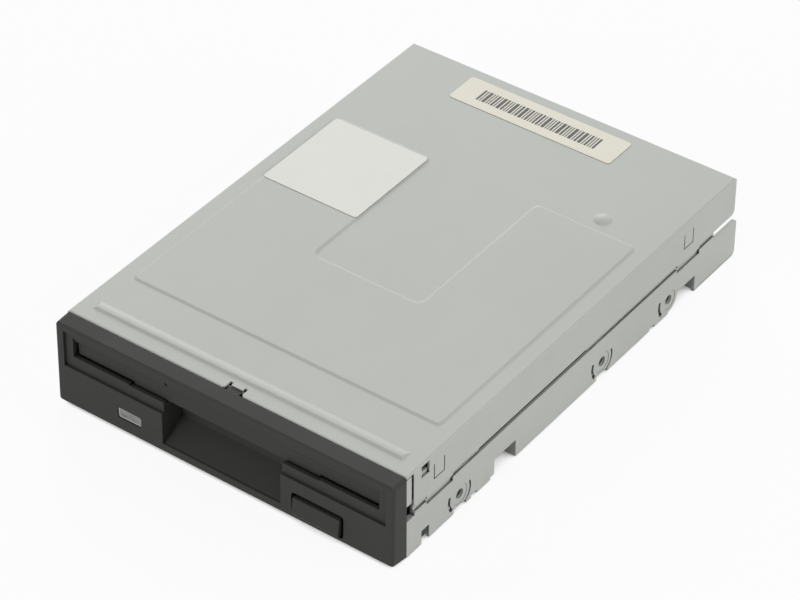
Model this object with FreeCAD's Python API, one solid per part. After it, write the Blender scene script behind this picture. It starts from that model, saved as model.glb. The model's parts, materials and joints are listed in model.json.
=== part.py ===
# Slim 3.5-inch floppy disk drive, in millimetres.
# x runs to the right seen from the front, y from the bezel's front face to the rear, z up from the
# plane that the drive stands on. The finished pieces are moved along y as they are written, so that
# the origin is under the middle of the whole drive.
import FreeCAD, Part
import math
import os

V = FreeCAD.Vector
X_AXIS = V(1, 0, 0)
Y_AXIS = V(0, 1, 0)
Z_AXIS = V(0, 0, 1)

# Envelope
body_width = 101.6
half_width = body_width / 2
cover_top = 25.2

# Gaps between pieces
seat_gap = 0.3
running_gap = 0.05
front_gap = 0.1

# Bezel
bezel_thick = 4.6
bezel_plate = 1.75
bezel_rim = 2.0
bezel_front_foot = 1.0
bezel_front_top = cover_top - 0.4
bezel_rear_top = cover_top - 0.1
bezel_lean = 0.7
bezel_corner = 0.9
bezel_edge = 0.7
recess_margin = 2.4
recess_deep = 0.8
recess_foot = 12.6
recess_head = 23.1
slot_margin = 4.8
slot_foot = 15.8
slot_height = 3.8
slot_lead = 2.1
slot_step = 0.35
slot_step_half = 28.6
slot_ledge_drop = 1.0
slot_ledge_thick = 1.0
slot_ledge_reach = 1.85
lip_raise = 1.3
scoop_to_button = 3.2
scoop_foot = 3.4
scoop_depth = 7.2
scoop_climb = 4.0
scoop_wall = 1.0
scoop_back = 11.5
scoop_brow = 14.4
window_inset = 22.6
window_width = 7.3
window_foot = 4.7
window_height = 3.1
window_corner = 0.6
window_sink = 0.3
button_inset = 22.05
button_width = 13.7
button_foot = 2.9
button_top = 7.8
button_gap = 0.8
button_head_gap = 1.1
button_corner = 0.9
button_brow = 1.0
button_nose = 1.7
button_nose_height = 3.4
button_chin = 1.4
button_edge = 0.8
button_stem_end = 13.5
bezel_clip_thick = 1.0
bezel_clip_reach = 8.2
top_clip_half = 1.9

# Dust flap
flap_face = 1.9
flap_thick = 1.0
flap_side_gap = 0.7
flap_lap = 0.4
flap_head_lap = 0.2
tongue_margin = 17.3
tongue_drop = 0.8
flap_axis_back = 1.7
flap_axis_below = 0.5
flap_pin_radius = 0.8
flap_pin_gap = 0.6
flap_roll_radius = 1.1
flap_spring_room = 4.2
flap_spring_radius = 1.25
flap_spring_pitch = 0.95

# Chassis
chassis_sheet = 0.8
wall_foot = 0.5
wall_top = 12.5
rear_wall_top = 11.6
rear_wall_length = 10.9
wall_corner = 1.5
floor_top = 7.8
floor_front = 9.3
side_hole_first = 21.1
side_hole_to_middle = 60.0
side_hole_to_rear = 90.0
side_hole_height = 5.0
side_hole_radius = 1.4
side_collar_radius = 2.6
side_collar_length = 2.2
side_ring_radius = 2.9
side_ring_deep = 0.12
arc_slot_radius = 3.9
front_arc_width = 0.95
rear_arc_width = 0.6
front_arc_start = 158.0
front_arc_sweep = 66.0
rear_arc_start = -62.0
rear_arc_sweep = 84.0
clip_window_start = 10.4
clip_window_length = 3.0
clip_window_top = 4.5
foot_notch_1_start = 39.7
foot_notch_1_length = 8.9
foot_notch_1_top = 5.8
foot_notch_2_start = 119.5
foot_notch_2_length = 8.4
foot_notch_2_top = 5.1
gusset_reach = 7.8
small_notch_top = 1.25
small_notch_length = 2.2
small_notch_1_start = 30.3
small_notch_2_start = 38.1
small_notch_3_start = 107.2
hole_notch_top = 1.7
hole_notch_half = 2.5
ear_top = 22.0
ear_low_top = 19.5
front_ear_end = 34.0
rear_ear_start = 79.0
rear_ear_end = 137.0
post_length = 1.9
post_foot = 16.2
post_top = cover_top - 0.8

# Cover
cover_sheet = 0.6
cover_seam = 1.5
cover_flange_front = 7.4
cover_rear_inset = 1.4
cover_bend = 0.5
flange_corner = 1.5
emboss = 0.3
emboss_edge = 0.8
emboss_corner = 2.0
raised_margin = 4.3
raised_front = 23.2
raised_rear = 106.7
raised_inner_half = 16.0
raised_inner_front = 57.2
bead_front = 8.9
bead_width = 3.3
bead_height = 0.45
bead_front_edge = 0.7
bead_rear_edge = 1.7
dimple_inset = 17.8
dimple_y = 111.2
dimple_radius = 2.5
dimple_height = 0.6
tab_1_start = 12.4
tab_2_start = 118.9
tab_length = 10.4
tab_drop = 0.8
tab_room = 1.1
latch_hole_length = 3.0
latch_hole_foot = 20.9
latch_hole_height = 3.5
lance_1_start = 15.2
lance_2_start = 121.6
lance_length = 4.3
lance_foot = 17.2
lance_height = 4.6
lance_slit = 0.3
cover_notch_half = 2.6
cover_notch_deep = 1.8
cover_relief_width = 0.9
cover_relief_deep = 1.0

# Labels on the cover
label_thick = 0.1
plain_label_width = 29.6
plain_label_front = 74.7
plain_label_length = 31.0
bar_label_inset = 21.8
bar_label_width = 50.5
bar_label_rear_inset = 3.5
bar_label_length = 11.0
label_corner = 1.0

# Disk that the drive takes, used for clearances only
disk_side_room = 5.8
disk_thick = 3.3
disk_play = 0.5
disk_rise = 0.2

# Disk holder and its drop onto the spindle
holder_sheet = 0.6
holder_front = 10.5
holder_rear = 101.5
holder_drop = 3.0
holder_lip = 3.0
holder_flange_rear = 98.0
holder_window_half = 7.5
holder_window_start = 74.0
lift_rail_width = 4.0
holder_pin_radius = 1.2
holder_pin_front = 28.0
holder_pin_rear = 84.0
holder_pin_rise = 2.0

# Lamp
lamp_radius = 1.5
lamp_length = 4.6
lamp_lead = 0.25
tongue_front = 12.0
motor_tongue_half = 5.0
lead_lap = 2.0

# Eject slider
slider_sheet = 0.8
slider_side_room = 2.8
slider_travel = 6.0
slider_strip = 8.0
slider_front = 15.3
slider_bar = 5.5
slider_rear = 93.6
slider_low_top = 12.0
slider_tab_front = 8.2
slider_tab_half = 4.0
slider_gap = 0.25
cam_cheek = 3.6
slider_pin_inset = 5.0
slider_pin_front = 66.0
slider_pin_rear = 80.0
slider_pin_radius = 1.4
slider_shank_radius = 1.0
slider_head_radius = 2.6
slider_head_thick = 0.7

# Eject springs
eject_spring_inset = 4.0
eject_spring_front = 27.0
eject_spring_rear = 52.0
eject_spring_height = 10.5
eject_spring_radius = 1.0
eject_spring_pitch = 1.9
spring_wire = 0.2

# Latch lever
lever_inset = 8.0
lever_back = 14.0
lever_length = 30.0
lever_rest_angle = 20.0
lever_turn = 50.0
lever_sheet = 0.8
lever_half_width = 2.6
lever_finger_radius = 1.5
lever_finger_drop = 3.6
lever_tail_reach = 7.8
lever_tail_forward = 5.0
lever_tail_width = 2.2
lever_tail_root = 1.8
lever_post_radius = 1.6
lever_cap_radius = 2.4
lever_cap_thick = 0.4
slot_play = 0.5
latch_tab_length = 2.0
latch_gap = 0.7
latch_spring_radius = 2.1
latch_spring_pitch = 0.95

# Spindle motor
spindle_y = 56.0
rotor_radius = 23.5
rotor_sheet = 0.8
rotor_foot = 8.3
rotor_top = 11.4
magnet_width = 1.8
air_gap = 0.6
stator_yoke = 9.0
stator_thick = 1.0
stator_teeth = 9
tooth_width = 2.6
coil_thick = 0.6
coil_start = 10.0
coil_end = 17.0
shoe_depth = 2.0
shoe_half = 4.2
index_size = 2.0
motor_chip_size = 7.0
motor_chip_back = 19.0
bush_radius = 4.0
bush_flange_radius = 6.5
bush_flange_thick = 0.8
bush_top = 10.2
shaft_radius = 1.5
shaft_foot = 5.4
shaft_top = 14.0
chuck_radius = 12.5
chuck_top = 12.4
drive_pin_radius = 1.6
drive_pin_offset = 9.6
drive_pin_top = 13.6
drive_pin_angle = 35.0
floor_hole_radius = 28.0
motor_board_thick = 1.0
motor_board_radius = 33.0
motor_screw_circle = 29.6
motor_screw_angle = -35.0
motor_screws_count = 3

# Sensing switches
sensor_board_thick = 0.8
sensor_board_margin = 3.5
switch_y = 26.0
switch_inset = 14.8
switch_spacing = 6.0
switch_size = 5.0
switch_height = 4.0
switch_floor = 0.8
plunger_radius = 0.9
plunger_collar_radius = 1.5
plunger_collar_thick = 0.8
plunger_top = 13.6

# Heads
head_from_spindle = 39.5
head_travel = 14.8
head_overhang = 22.5
carriage_length = 14.0
carriage_half = 9.0
carriage_foot = 8.4
carriage_deck = 12.6
carriage_back_top = 17.0
carriage_back = 4.0
lower_arm_half = 5.0
lower_arm_thick = 0.8
arm_nose = 4.8
head_radius = 2.5
head_face = 14.4
upper_arm_half = 4.6
upper_arm_foot = 21.3
upper_arm_thick = 1.0
upper_arm_nose = 3.5
upper_head_face = 19.7
sleeve_radius = 2.4
arm_lug = 3.0
arm_barrel_radius = 1.7
arm_barrel_half = 5.4
arm_axis_back = 10.0
arm_axis_height = 20.0
arm_pin_radius = 0.8
arm_wing_length = 3.0
arm_wing_reach = 1.0
arm_wing_forward = 11.5
arm_spring_half = 2.5
arm_spring_reach = 5.0
arm_spring_thick = 0.25
arm_spring_gap = 0.35
leaf_post_length = 1.6
guide_rod_x = 12.0
guide_rod_radius = 1.5
guide_rod_height = 10.6
carriage_stop = 0.7
carriage_rear_stop = 1.5
rod_clamp_length = 3.0

# Track sensor and its flag on the carriage
sensor_x = 18.4
sensor_wall = 1.0
flag_thick = 0.8
flag_back = 9.0
flag_length = 4.0
clamp_screw_x = 16.6
clamp_foot_thick = 1.6

# Stepper
stepper_x = -24.0
stepper_radius = 6.2
stepper_back = 3.4
stepper_length = 14.0
screw_radius = 1.5
screw_overrun = 1.7
bracket_sheet = 0.8
bracket_screw_x = -30.0
bracket_screw_inset = 5.2
bracket_half = 1.9
follower_thick = 1.6

# Main board
main_board_thick = 1.2
main_board_foot = 2.6
main_board_left_margin = 9.3
main_board_right_margin = 10.8
main_board_length = 58.5
main_board_rear_inset = 1.6
standoff_radius = 2.2
standoff_inset = 4.0
standoff_rear_inset = 14.0
chip_thick = 1.4
control_chip_size = 14.0
control_chip_left = 6.0
small_chip_length = 8.0
small_chip_width = 5.0
small_chip_inset = 13.0
capacitor_radius = 1.2
capacitor_height = 2.4
capacitor_inset = 9.0
capacitor_spacing = 8.0

# Connectors on the main board
pin_pitch = 2.54
pin_size = 0.64
signal_columns = 17
signal_inset = 28.0
signal_wall = 1.5
header_length = 6.4
header_cavity_deep = 5.0
header_clearance = 2.6
signal_height = 8.3
power_columns = 4
power_inset = 10.5
power_wall = 0.9
power_height = 6.4

# Screws
screw_shank_radius = 1.0
screw_head_radius = 2.0
screw_head_thick = 0.9
recess_width = 0.5
recess_depth = 0.5
small_shank_radius = 0.8
small_head_radius = 1.5

# Places worked out from the sizes above, from the front to the rear
bezel_rear = bezel_thick
cover_front = bezel_thick + front_gap
side_holes_front = bezel_rear + side_hole_first
side_holes_middle = side_holes_front + side_hole_to_middle
side_holes_rear = side_holes_front + side_hole_to_rear
lever_y = spindle_y + lever_back
head_rest_y = spindle_y + head_from_spindle
carriage_front = head_rest_y + head_overhang
carriage_rear = carriage_front + carriage_length
arm_axis_y = carriage_front + arm_axis_back
arm_wing_y = carriage_front - arm_wing_forward
lift_rail_end = arm_wing_y + arm_wing_length
guide_rod_front = carriage_front - head_travel - carriage_stop - rod_clamp_length
guide_rod_rear = carriage_rear + carriage_rear_stop + rod_clamp_length
stepper_front = carriage_front + stepper_back
screw_front = carriage_front - follower_thick - head_travel - screw_overrun
flag_front = carriage_front + flag_back
floor_rear = guide_rod_rear
connector_front = guide_rod_rear + header_clearance
main_board_rear = connector_front + header_length
main_board_front = main_board_rear - main_board_length
chassis_rear = main_board_rear + main_board_rear_inset
cover_rear = chassis_rear - cover_rear_inset
rear_wall_start = chassis_rear - rear_wall_length
bar_label_front = cover_rear - bar_label_rear_inset - bar_label_length
middle_y = (chassis_rear - button_nose) / 2

# Places across the drive
recess_half = half_width - recess_margin
slot_half = half_width - slot_margin
window_centre = window_inset - half_width
button_centre = half_width - button_inset
scoop_half = button_centre - button_width / 2 - button_gap - scoop_to_button
lip_half = scoop_half - front_gap
flap_half = slot_half - flap_side_gap
tongue_half = flap_half - tongue_margin
flap_pin_reach = half_width - bezel_rim - flap_pin_gap
wall_inner = half_width - chassis_sheet
cover_inner = half_width - cover_sheet
ear_outer = cover_inner
ear_inner = ear_outer - chassis_sheet
raised_half = half_width - raised_margin
dimple_x = half_width - dimple_inset
plain_label_left = seat_gap - raised_half
bar_label_left = bar_label_inset - half_width
disk_half = half_width - disk_side_room
holder_half = disk_half + disk_play + holder_sheet
slider_half = half_width - slider_side_room
slider_flange_inner = slider_half - slider_sheet
slider_pin_x = slider_half - slider_pin_inset
eject_spring_x = slider_half - eject_spring_inset
lever_x = lever_inset - slider_half
write_protect_x = half_width - switch_inset
disk_in_x = write_protect_x - switch_spacing
density_x = -write_protect_x
main_board_left = main_board_left_margin - half_width
main_board_right = half_width - main_board_right_margin
signal_x = main_board_right - signal_inset
power_x = main_board_left + power_inset
signal_width = (signal_columns - 1) * pin_pitch + 3 * signal_wall + pin_pitch
power_width = power_columns * pin_pitch + 2 * signal_wall

# Places in height
slot_head = slot_foot + slot_height
flap_foot = slot_foot + flap_lap
flap_top = slot_head + slot_lead + flap_head_lap
flap_axis_depth = flap_face + flap_axis_back
flap_axis_height = flap_top - flap_axis_below
cover_under = cover_top - cover_sheet
flange_foot = wall_top + cover_seam
floor_foot = floor_top - chassis_sheet
motor_board_top = floor_foot
motor_board_foot = motor_board_top - motor_board_thick
main_board_top = main_board_foot + main_board_thick
disk_foot = slot_foot + disk_rise
holder_lip_foot = disk_foot - holder_sheet
holder_plate_foot = disk_foot + disk_thick + disk_play
holder_plate_top = holder_plate_foot + holder_sheet
holder_pin_height = holder_lip_foot + holder_pin_rise
slider_foot = floor_top + seat_gap
slider_top = slider_foot + slider_sheet
slider_flange_top = holder_pin_height + holder_pin_radius + slider_gap + slider_sheet
lever_foot = holder_plate_top + seat_gap
lever_top = lever_foot + lever_sheet
leaf_foot = upper_arm_foot + upper_arm_thick + arm_spring_gap
bush_bore = shaft_radius + running_gap


def box(x0, x1, y0, y1, z0, z1):
    return Part.makeBox(x1 - x0, y1 - y0, z1 - z0, V(x0, y0, z0))


def rod_x(y, z, radius, x0, x1):
    return Part.makeCylinder(radius, x1 - x0, V(x0, y, z), X_AXIS)


def rod_y(x, z, radius, y0, y1):
    return Part.makeCylinder(radius, y1 - y0, V(x, y0, z), Y_AXIS)


def rod_z(x, y, radius, z0, z1):
    return Part.makeCylinder(radius, z1 - z0, V(x, y, z0), Z_AXIS)


def prism_x(outline, x0, x1):
    """A solid whose side view is the outline of (y, z) points."""
    points = [V(x0, y, z) for y, z in outline]
    return Part.Face(Part.makePolygon(points + points[:1])).extrude(V(x1 - x0, 0, 0))


def prism_z(outline, z0, z1):
    """A solid whose plan is the outline of (x, y) points."""
    points = [V(x, y, z0) for x, y in outline]
    return Part.Face(Part.makePolygon(points + points[:1])).extrude(V(0, 0, z1 - z0))


def mirrored(shape):
    """The same shape on the drive's left side."""
    return shape.mirror(V(0, 0, 0), X_AXIS)


def both_sides(shape):
    return [shape, mirrored(shape)]


def fused(shapes):
    """One clean solid made of touching shapes."""
    return shapes[0].multiFuse(shapes[1:]).removeSplitter()


def cut_all(shape, tools):
    return shape.cut(Part.makeCompound(tools)) if tools else shape


def group(shapes):
    """Separate solids kept in one node."""
    return Part.makeCompound(shapes)


def edges_where(shape, test):
    """The straight edges whose two ends both pass the test."""
    found = []
    for edge in shape.Edges:
        ends = [vertex.Point for vertex in edge.Vertexes]
        if len(ends) == 2 and all(test(p) for p in ends):
            found.append(edge)
    return found


def running_back(edges):
    """Those of the edges that run from the front to the rear."""
    return [e for e in edges if abs(e.Vertexes[0].Y - e.Vertexes[1].Y) > bezel_lean + running_gap]


def near(a, b):
    return abs(a - b) < 1e-4


def bezel_clips():
    """Two side arms that snap into the chassis windows, and the tab under the cover's notch."""
    arm_outer = wall_inner - seat_gap
    arm_foot = clip_window_top - 2 * bezel_clip_thick - seat_gap
    arm_head = clip_window_top - seat_gap
    arm_end = bezel_rear + bezel_clip_reach
    arm = box(arm_outer - bezel_clip_thick, arm_outer, bezel_plate, arm_end, arm_foot, arm_head)
    barb_start = clip_window_start + seat_gap
    barb_outer = half_width - seat_gap
    barb = box(arm_outer, barb_outer, barb_start, arm_end - seat_gap, arm_foot, arm_head)
    tab_end = cover_front + cover_notch_deep - seat_gap
    tab_foot = bezel_rear_top - bezel_clip_thick
    tab = box(-top_clip_half, top_clip_half, bezel_plate, tab_end, tab_foot, cover_top - seat_gap)
    return [arm, barb, mirrored(arm), mirrored(barb)], tab


def scoop_pocket():
    """The sloping floor, back and sides of the finger scoop."""
    outer = scoop_half + scoop_wall
    rise = scoop_foot + scoop_climb
    back = scoop_depth + scoop_wall
    ramp = prism_x(
        [
            (0, scoop_foot - scoop_wall),
            (0, scoop_foot),
            (scoop_depth, rise),
            (scoop_depth, scoop_back),
            (back, scoop_back),
            (back, rise - scoop_wall),
        ],
        -outer,
        outer,
    )
    side = prism_x(
        [
            (recess_deep, scoop_foot - scoop_wall),
            (recess_deep, scoop_brow),
            (bezel_rear, scoop_brow),
            (back, scoop_back),
            (back, rise - scoop_wall),
        ],
        scoop_half,
        outer,
    )
    return [ramp] + both_sides(side)


def recess_floor(z):
    """The depth of the sunk field's floor, which leans as the face does."""
    return face_depth(z) + recess_deep


def slot_cuts():
    """The disk slot with its sloping upper lip, which is higher in the middle."""
    lead_top = slot_head + slot_lead
    cuts = []
    cuts.append(box(-slot_step_half, slot_step_half, -1, bezel_plate, slot_foot - slot_step, slot_foot))
    for half, head in ((slot_half, slot_head), (lip_half, slot_head + lip_raise)):
        cuts.append(box(-half, half, -1, bezel_plate, slot_foot, head))
        lead = [(-1, head), (bezel_plate, head), (recess_floor(lead_top), lead_top), (-1, lead_top)]
        cuts.append(prism_x(lead, -half, half))
    return cuts


def button_opening(extra):
    half = button_width / 2 + button_gap + extra
    foot = button_foot - button_gap - extra
    return button_centre - half, button_centre + half, foot, button_top + button_head_gap


def window_block(extra, y0, y1):
    half = window_width / 2 + extra
    block = box(
        window_centre - half,
        window_centre + half,
        y0,
        y1,
        window_foot - extra,
        window_foot + window_height + extra,
    )
    corners = edges_where(block, lambda p: True)
    return block.makeFillet(window_corner, running_back(corners))


def face_depth(z):
    """The depth of the bezel's leaning front face at a height."""
    return bezel_lean * (z - bezel_front_top) / (bezel_front_top - bezel_front_foot)


def front_bezel():
    outline = [
        (-bezel_lean, bezel_front_foot),
        (0, bezel_front_top),
        (bezel_rear, bezel_rear_top),
        (bezel_rear, 0),
    ]
    body = prism_x(outline, -half_width, half_width)
    sides = edges_where(body, lambda p: near(abs(p.x), half_width))
    body = body.makeFillet(bezel_corner, running_back(sides))
    body = body.makeFillet(bezel_edge, edges_where(body, lambda p: near(p.y, face_depth(p.z))))
    inner = half_width - bezel_rim
    hollow = box(-inner, inner, bezel_plate, bezel_rear + 1, bezel_rim, bezel_rear_top - bezel_rim)
    sunk = [(z, recess_floor(z)) for z in (recess_foot, recess_head)]
    field = [(-1, recess_foot)] + [(depth, z) for z, depth in sunk] + [(-1, recess_head)]
    recess = prism_x(field, -recess_half, recess_half)
    scoop = box(-scoop_half, scoop_half, -1, bezel_plate, scoop_foot, slot_foot)
    x0, x1, z0, z1 = button_opening(0)
    opening = box(x0, x1, -1, bezel_rear, z0, z1)
    opening = opening.makeFillet(button_corner, running_back(opening.Edges))
    window = window_block(0, -1, bezel_plate)
    side = flap_half + seat_gap
    foot = flap_foot - tongue_drop - seat_gap
    head = flap_axis_height + flap_spring_radius + spring_wire + seat_gap
    rebate = box(-side, side, flap_face - seat_gap, bezel_rear + 1, foot, head)
    shell = cut_all(body, [hollow, rebate, recess, scoop, opening, window] + slot_cuts())
    sx0, sx1, sz0, sz1 = button_opening(scoop_wall)
    sleeve = box(sx0, sx1, bezel_plate - recess_deep, bezel_rear, sz0, sz1).cut(opening)
    ear_x = flap_half + flap_thick
    ear_front = bezel_plate - recess_deep / 2
    ear_foot = slot_foot - scoop_wall
    ear = box(ear_x, half_width - bezel_rim, ear_front, bezel_rear, ear_foot, bezel_rear_top - bezel_rim)
    ledge_top = slot_foot - slot_ledge_drop
    ledge_end = bezel_plate + slot_ledge_reach
    ledge = box(scoop_half, slot_half, recess_deep, ledge_end, ledge_top - slot_ledge_thick, ledge_top)
    arms, tab = bezel_clips()
    solid = fused([shell, sleeve, tab] + both_sides(ear) + both_sides(ledge) + arms + scoop_pocket())
    pin_hole = flap_pin_radius + running_gap
    hole = rod_x(
        flap_axis_depth, flap_axis_height, pin_hole, -flap_pin_reach - seat_gap, flap_pin_reach + seat_gap
    )
    return solid.cut(hole)


def lamp_lens():
    front = face_depth(window_foot) + window_sink
    plug = window_block(-running_gap, front, bezel_plate)
    flange = window_block(window_corner, bezel_plate, bezel_plate + flap_thick)
    return fused([plug, flange])


def dust_flap():
    back = flap_face + flap_thick
    plate = box(-flap_half, flap_half, flap_face, back, flap_foot, flap_top)
    tongue = box(-tongue_half, tongue_half, flap_face, back, flap_foot - tongue_drop, flap_top)
    roll_end = flap_half - flap_spring_room
    roll = rod_x(flap_axis_depth, flap_axis_height, flap_roll_radius, -flap_half, roll_end)
    core = rod_x(flap_axis_depth, flap_axis_height, flap_pin_radius, -flap_pin_reach, flap_pin_reach)
    spring_foot = flap_axis_height - flap_roll_radius - 2 * spring_wire - seat_gap
    room = box(roll_end, flap_half, flap_face - 1, back + 1, spring_foot, flap_top + 1)
    return fused([fused([plate, tongue]).cut(room), roll, core])


def side_hole_stations():
    return side_holes_front, side_holes_middle, side_holes_rear


def side_holes():
    """The threaded collars, holes, shallow rings and arc slots of one side wall."""
    collars = []
    cuts = []
    for y in side_hole_stations():
        z = side_hole_height
        inner = half_width - side_collar_length
        collars.append(rod_x(y, z, side_collar_radius, inner, half_width))
        cuts.append(rod_x(y, z, side_hole_radius, inner - 1, half_width + 1))
        cuts.append(rod_x(y, z, side_ring_radius, half_width - side_ring_deep, half_width + 1))
        cuts.append(arc_slot(y, front_arc_start, front_arc_sweep, front_arc_width))
        if y < side_holes_rear:
            cuts.append(arc_slot(y, rear_arc_start, rear_arc_sweep, rear_arc_width))
    return collars, cuts


def arc_slot(y, start, sweep, width):
    """A slot round a side hole, from start over sweep degrees, counted from the rear upwards."""
    length = chassis_sheet + 1
    outer = Part.makeCylinder(arc_slot_radius + width, length, V(0, 0, 0), Z_AXIS, sweep)
    ring = outer.cut(Part.makeCylinder(arc_slot_radius, length))
    ring.rotate(V(0, 0, 0), Z_AXIS, start)
    ring.rotate(V(0, 0, 0), V(1, 1, 1), 120)
    ring.translate(V(half_width - chassis_sheet, y, side_hole_height))
    return ring


def wall_cut(y0, y1, z0, z1):
    return box(wall_inner - 1, half_width + 1, y0, y1, z0, z1)


def side_wall():
    wall = box(wall_inner, half_width, bezel_rear, chassis_rear, 0, wall_top)
    wall = wall.cut(wall_cut(rear_wall_start, chassis_rear + 1, rear_wall_top, wall_top + 1))
    corners = edges_where(wall, lambda p: near(p.y, chassis_rear))
    across = [e for e in corners if near(e.Vertexes[0].Z, e.Vertexes[1].Z)]
    wall = wall.makeFillet(wall_corner, across)
    notch_1_end = foot_notch_1_start + foot_notch_1_length
    notch_2_end = foot_notch_2_start + foot_notch_2_length
    lobe = rod_x(side_holes_rear, side_hole_height, arc_slot_radius, wall_inner - 1, half_width + 1)
    cuts = [
        wall_cut(bezel_rear - 1, foot_notch_2_start, -1, wall_foot),
        wall_cut(clip_window_start, clip_window_start + clip_window_length, -1, clip_window_top),
        wall_cut(foot_notch_1_start, notch_1_end, -1, foot_notch_1_top),
        wall_cut(side_holes_rear, notch_2_end, -1, foot_notch_2_top).cut(lobe),
    ]
    cuts.append(wall_cut(bezel_rear - 1, cover_flange_front + seat_gap, wall_top - 1, wall_top + 1))
    for start in (tab_1_start, tab_2_start):
        cuts.append(wall_cut(start, start + tab_length, wall_top - tab_room, wall_top + 1))
    for y in (side_holes_front, side_holes_middle):
        cuts.append(wall_cut(y - hole_notch_half, y + hole_notch_half, -1, hole_notch_top))
    for y in (small_notch_1_start, small_notch_2_start, small_notch_3_start):
        cuts.append(wall_cut(y, y + small_notch_length, -1, small_notch_top))
    collars, holes = side_holes()
    return fused([wall.cut(Part.makeCompound(cuts))] + collars + gussets()), holes


def gussets():
    """The two sheets bent inwards at the rear edges of the big notches."""
    notches = (
        (foot_notch_1_start + foot_notch_1_length, wall_foot),
        (foot_notch_2_start + foot_notch_2_length, wall_foot),
    )
    inner = wall_inner - gusset_reach
    return [box(inner, half_width, y, y + chassis_sheet, z, floor_top) for y, z in notches]


def holder_pin_stations():
    return holder_pin_front, holder_pin_rear


def slider_pin_stations():
    return slider_pin_front, slider_pin_rear


def ears():
    """The upright sheets inside the cover: they carry it, and their slots guide the holder's pins."""
    low_front = tab_1_start + tab_length
    low_rear = tab_2_start - chassis_sheet
    front = prism_x(
        [
            (bezel_rear, floor_foot),
            (bezel_rear, ear_top),
            (low_front, ear_top),
            (low_front, ear_low_top),
            (front_ear_end, ear_low_top),
            (front_ear_end, floor_foot),
        ],
        ear_inner,
        ear_outer,
    )
    rear = prism_x(
        [
            (rear_ear_start, floor_foot),
            (rear_ear_start, ear_low_top),
            (low_rear, ear_low_top),
            (low_rear, ear_top),
            (rear_ear_end, ear_top),
            (rear_ear_end, floor_foot),
        ],
        ear_inner,
        ear_outer,
    )
    post_end = bezel_rear + post_length
    post = box(ear_inner, half_width, bezel_rear, post_end, post_foot, post_top)
    opening = box(
        ear_inner - 1, half_width, bezel_rear - 1, cover_flange_front + seat_gap, wall_top - 1, post_foot
    )
    reach = holder_pin_radius + slider_gap
    foot = holder_pin_height - holder_drop - reach
    slots = [
        box(ear_inner - 1, ear_outer + 1, y - reach, y + reach, foot, ear_top + 1)
        for y in holder_pin_stations()
    ]
    return fused([front, post]).cut(opening).cut(slots[0]), rear.cut(slots[1])


def standoff_places():
    rear = main_board_rear - standoff_rear_inset
    front = main_board_front + standoff_inset
    return [
        (x, y)
        for x in (main_board_left + standoff_inset, main_board_right - standoff_inset) for y in (front, rear)
    ]


def motor_screw_places():
    places = []
    for i in range(motor_screws_count):
        angle = math.radians(motor_screw_angle + 360 * i / motor_screws_count)
        places.append(
            (motor_screw_circle * math.cos(angle), spindle_y + motor_screw_circle * math.sin(angle))
        )
    return places


def chassis():
    wall, holes = side_wall()
    front_ear, rear_ear = ears()
    floor = box(-wall_inner, wall_inner, floor_front, floor_rear, floor_foot, floor_top)
    sx0, sx1, _, _ = button_opening(scoop_wall)
    stepper_gap = stepper_radius + 2 * seat_gap
    floor_cuts = [
        rod_z(0, spindle_y, floor_hole_radius, floor_foot - 1, floor_top + 1),
        box(sx0, sx1, floor_front - 1, slider_front - 1, floor_foot - 1, floor_top + 1),
        box(
            stepper_x - stepper_gap,
            stepper_x + stepper_gap,
            stepper_front,
            floor_rear + 1,
            floor_foot - 1,
            floor_top + 1,
        ),
    ]
    hook_half = eject_spring_radius / 2
    hook_top = eject_spring_height + eject_spring_radius
    hook_x = eject_spring_x
    hook = box(
        hook_x - hook_half,
        hook_x + hook_half,
        eject_spring_front - chassis_sheet,
        eject_spring_front,
        floor_foot,
        hook_top,
    )
    posts = [rod_z(x, y, standoff_radius, main_board_top, floor_foot) for x, y in standoff_places()]
    shell = [cut_all(floor, floor_cuts)]
    for piece in (wall, front_ear, rear_ear, hook):
        shell += both_sides(piece)
    tray = fused(shell + posts)
    drill = screw_shank_radius + running_gap
    drills = [
        rod_z(x, y, drill, main_board_foot, floor_top + 1)
        for x, y in standoff_places() + motor_screw_places()
    ]
    drills += [
        rod_z(x, y, drill, floor_foot - 1, floor_top + 1)
        for x, y in bracket_screw_places() + clamp_screw_places()
    ]
    pin = slider_shank_radius + running_gap
    drills += [
        rod_z(s * slider_pin_x, y, pin, floor_foot - 1, floor_top + 1)
        for s in (-1, 1) for y in slider_pin_stations()
    ]
    for hole in holes:
        drills += both_sides(hole)
    return cut_all(tray, drills)


def raised_u():
    """The cover's raised U, with rounded corners and sloping edges."""
    right = [(raised_inner_half, raised_rear), (raised_half, raised_rear), (raised_half, raised_front)]
    left = [(-x, y) for x, y in reversed(right)]
    notch = [(-raised_inner_half, raised_inner_front), (raised_inner_half, raised_inner_front)]
    block = prism_z(left + notch + right, cover_top, cover_top + emboss)
    upright = [e for e in block.Edges if not near(e.Vertexes[0].Z, e.Vertexes[1].Z)]
    block = block.makeFillet(emboss_corner, upright)
    foot = min(block.Faces, key=lambda face: face.CenterOfMass.z).OuterWire
    head = foot.makeOffset2D(-emboss_edge)
    head.translate(V(0, 0, emboss))
    return Part.makeLoft([foot, head], True, True)


def bead():
    """The low rib across the cover's front, steep in front and easy behind."""
    rear = bead_front + bead_width
    low = [(-raised_half, bead_front), (raised_half, bead_front), (raised_half, rear), (-raised_half, rear)]
    half = raised_half - emboss_edge
    front = bead_front + bead_front_edge
    back = rear - bead_rear_edge
    high = [(-half, front), (half, front), (half, back), (-half, back)]
    wires = []
    for outline, z in ((low, cover_top), (high, cover_top + bead_height)):
        points = [V(x, y, z) for x, y in outline]
        wires.append(Part.makePolygon(points + points[:1]))
    return Part.makeLoft(wires, True, True)


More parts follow.
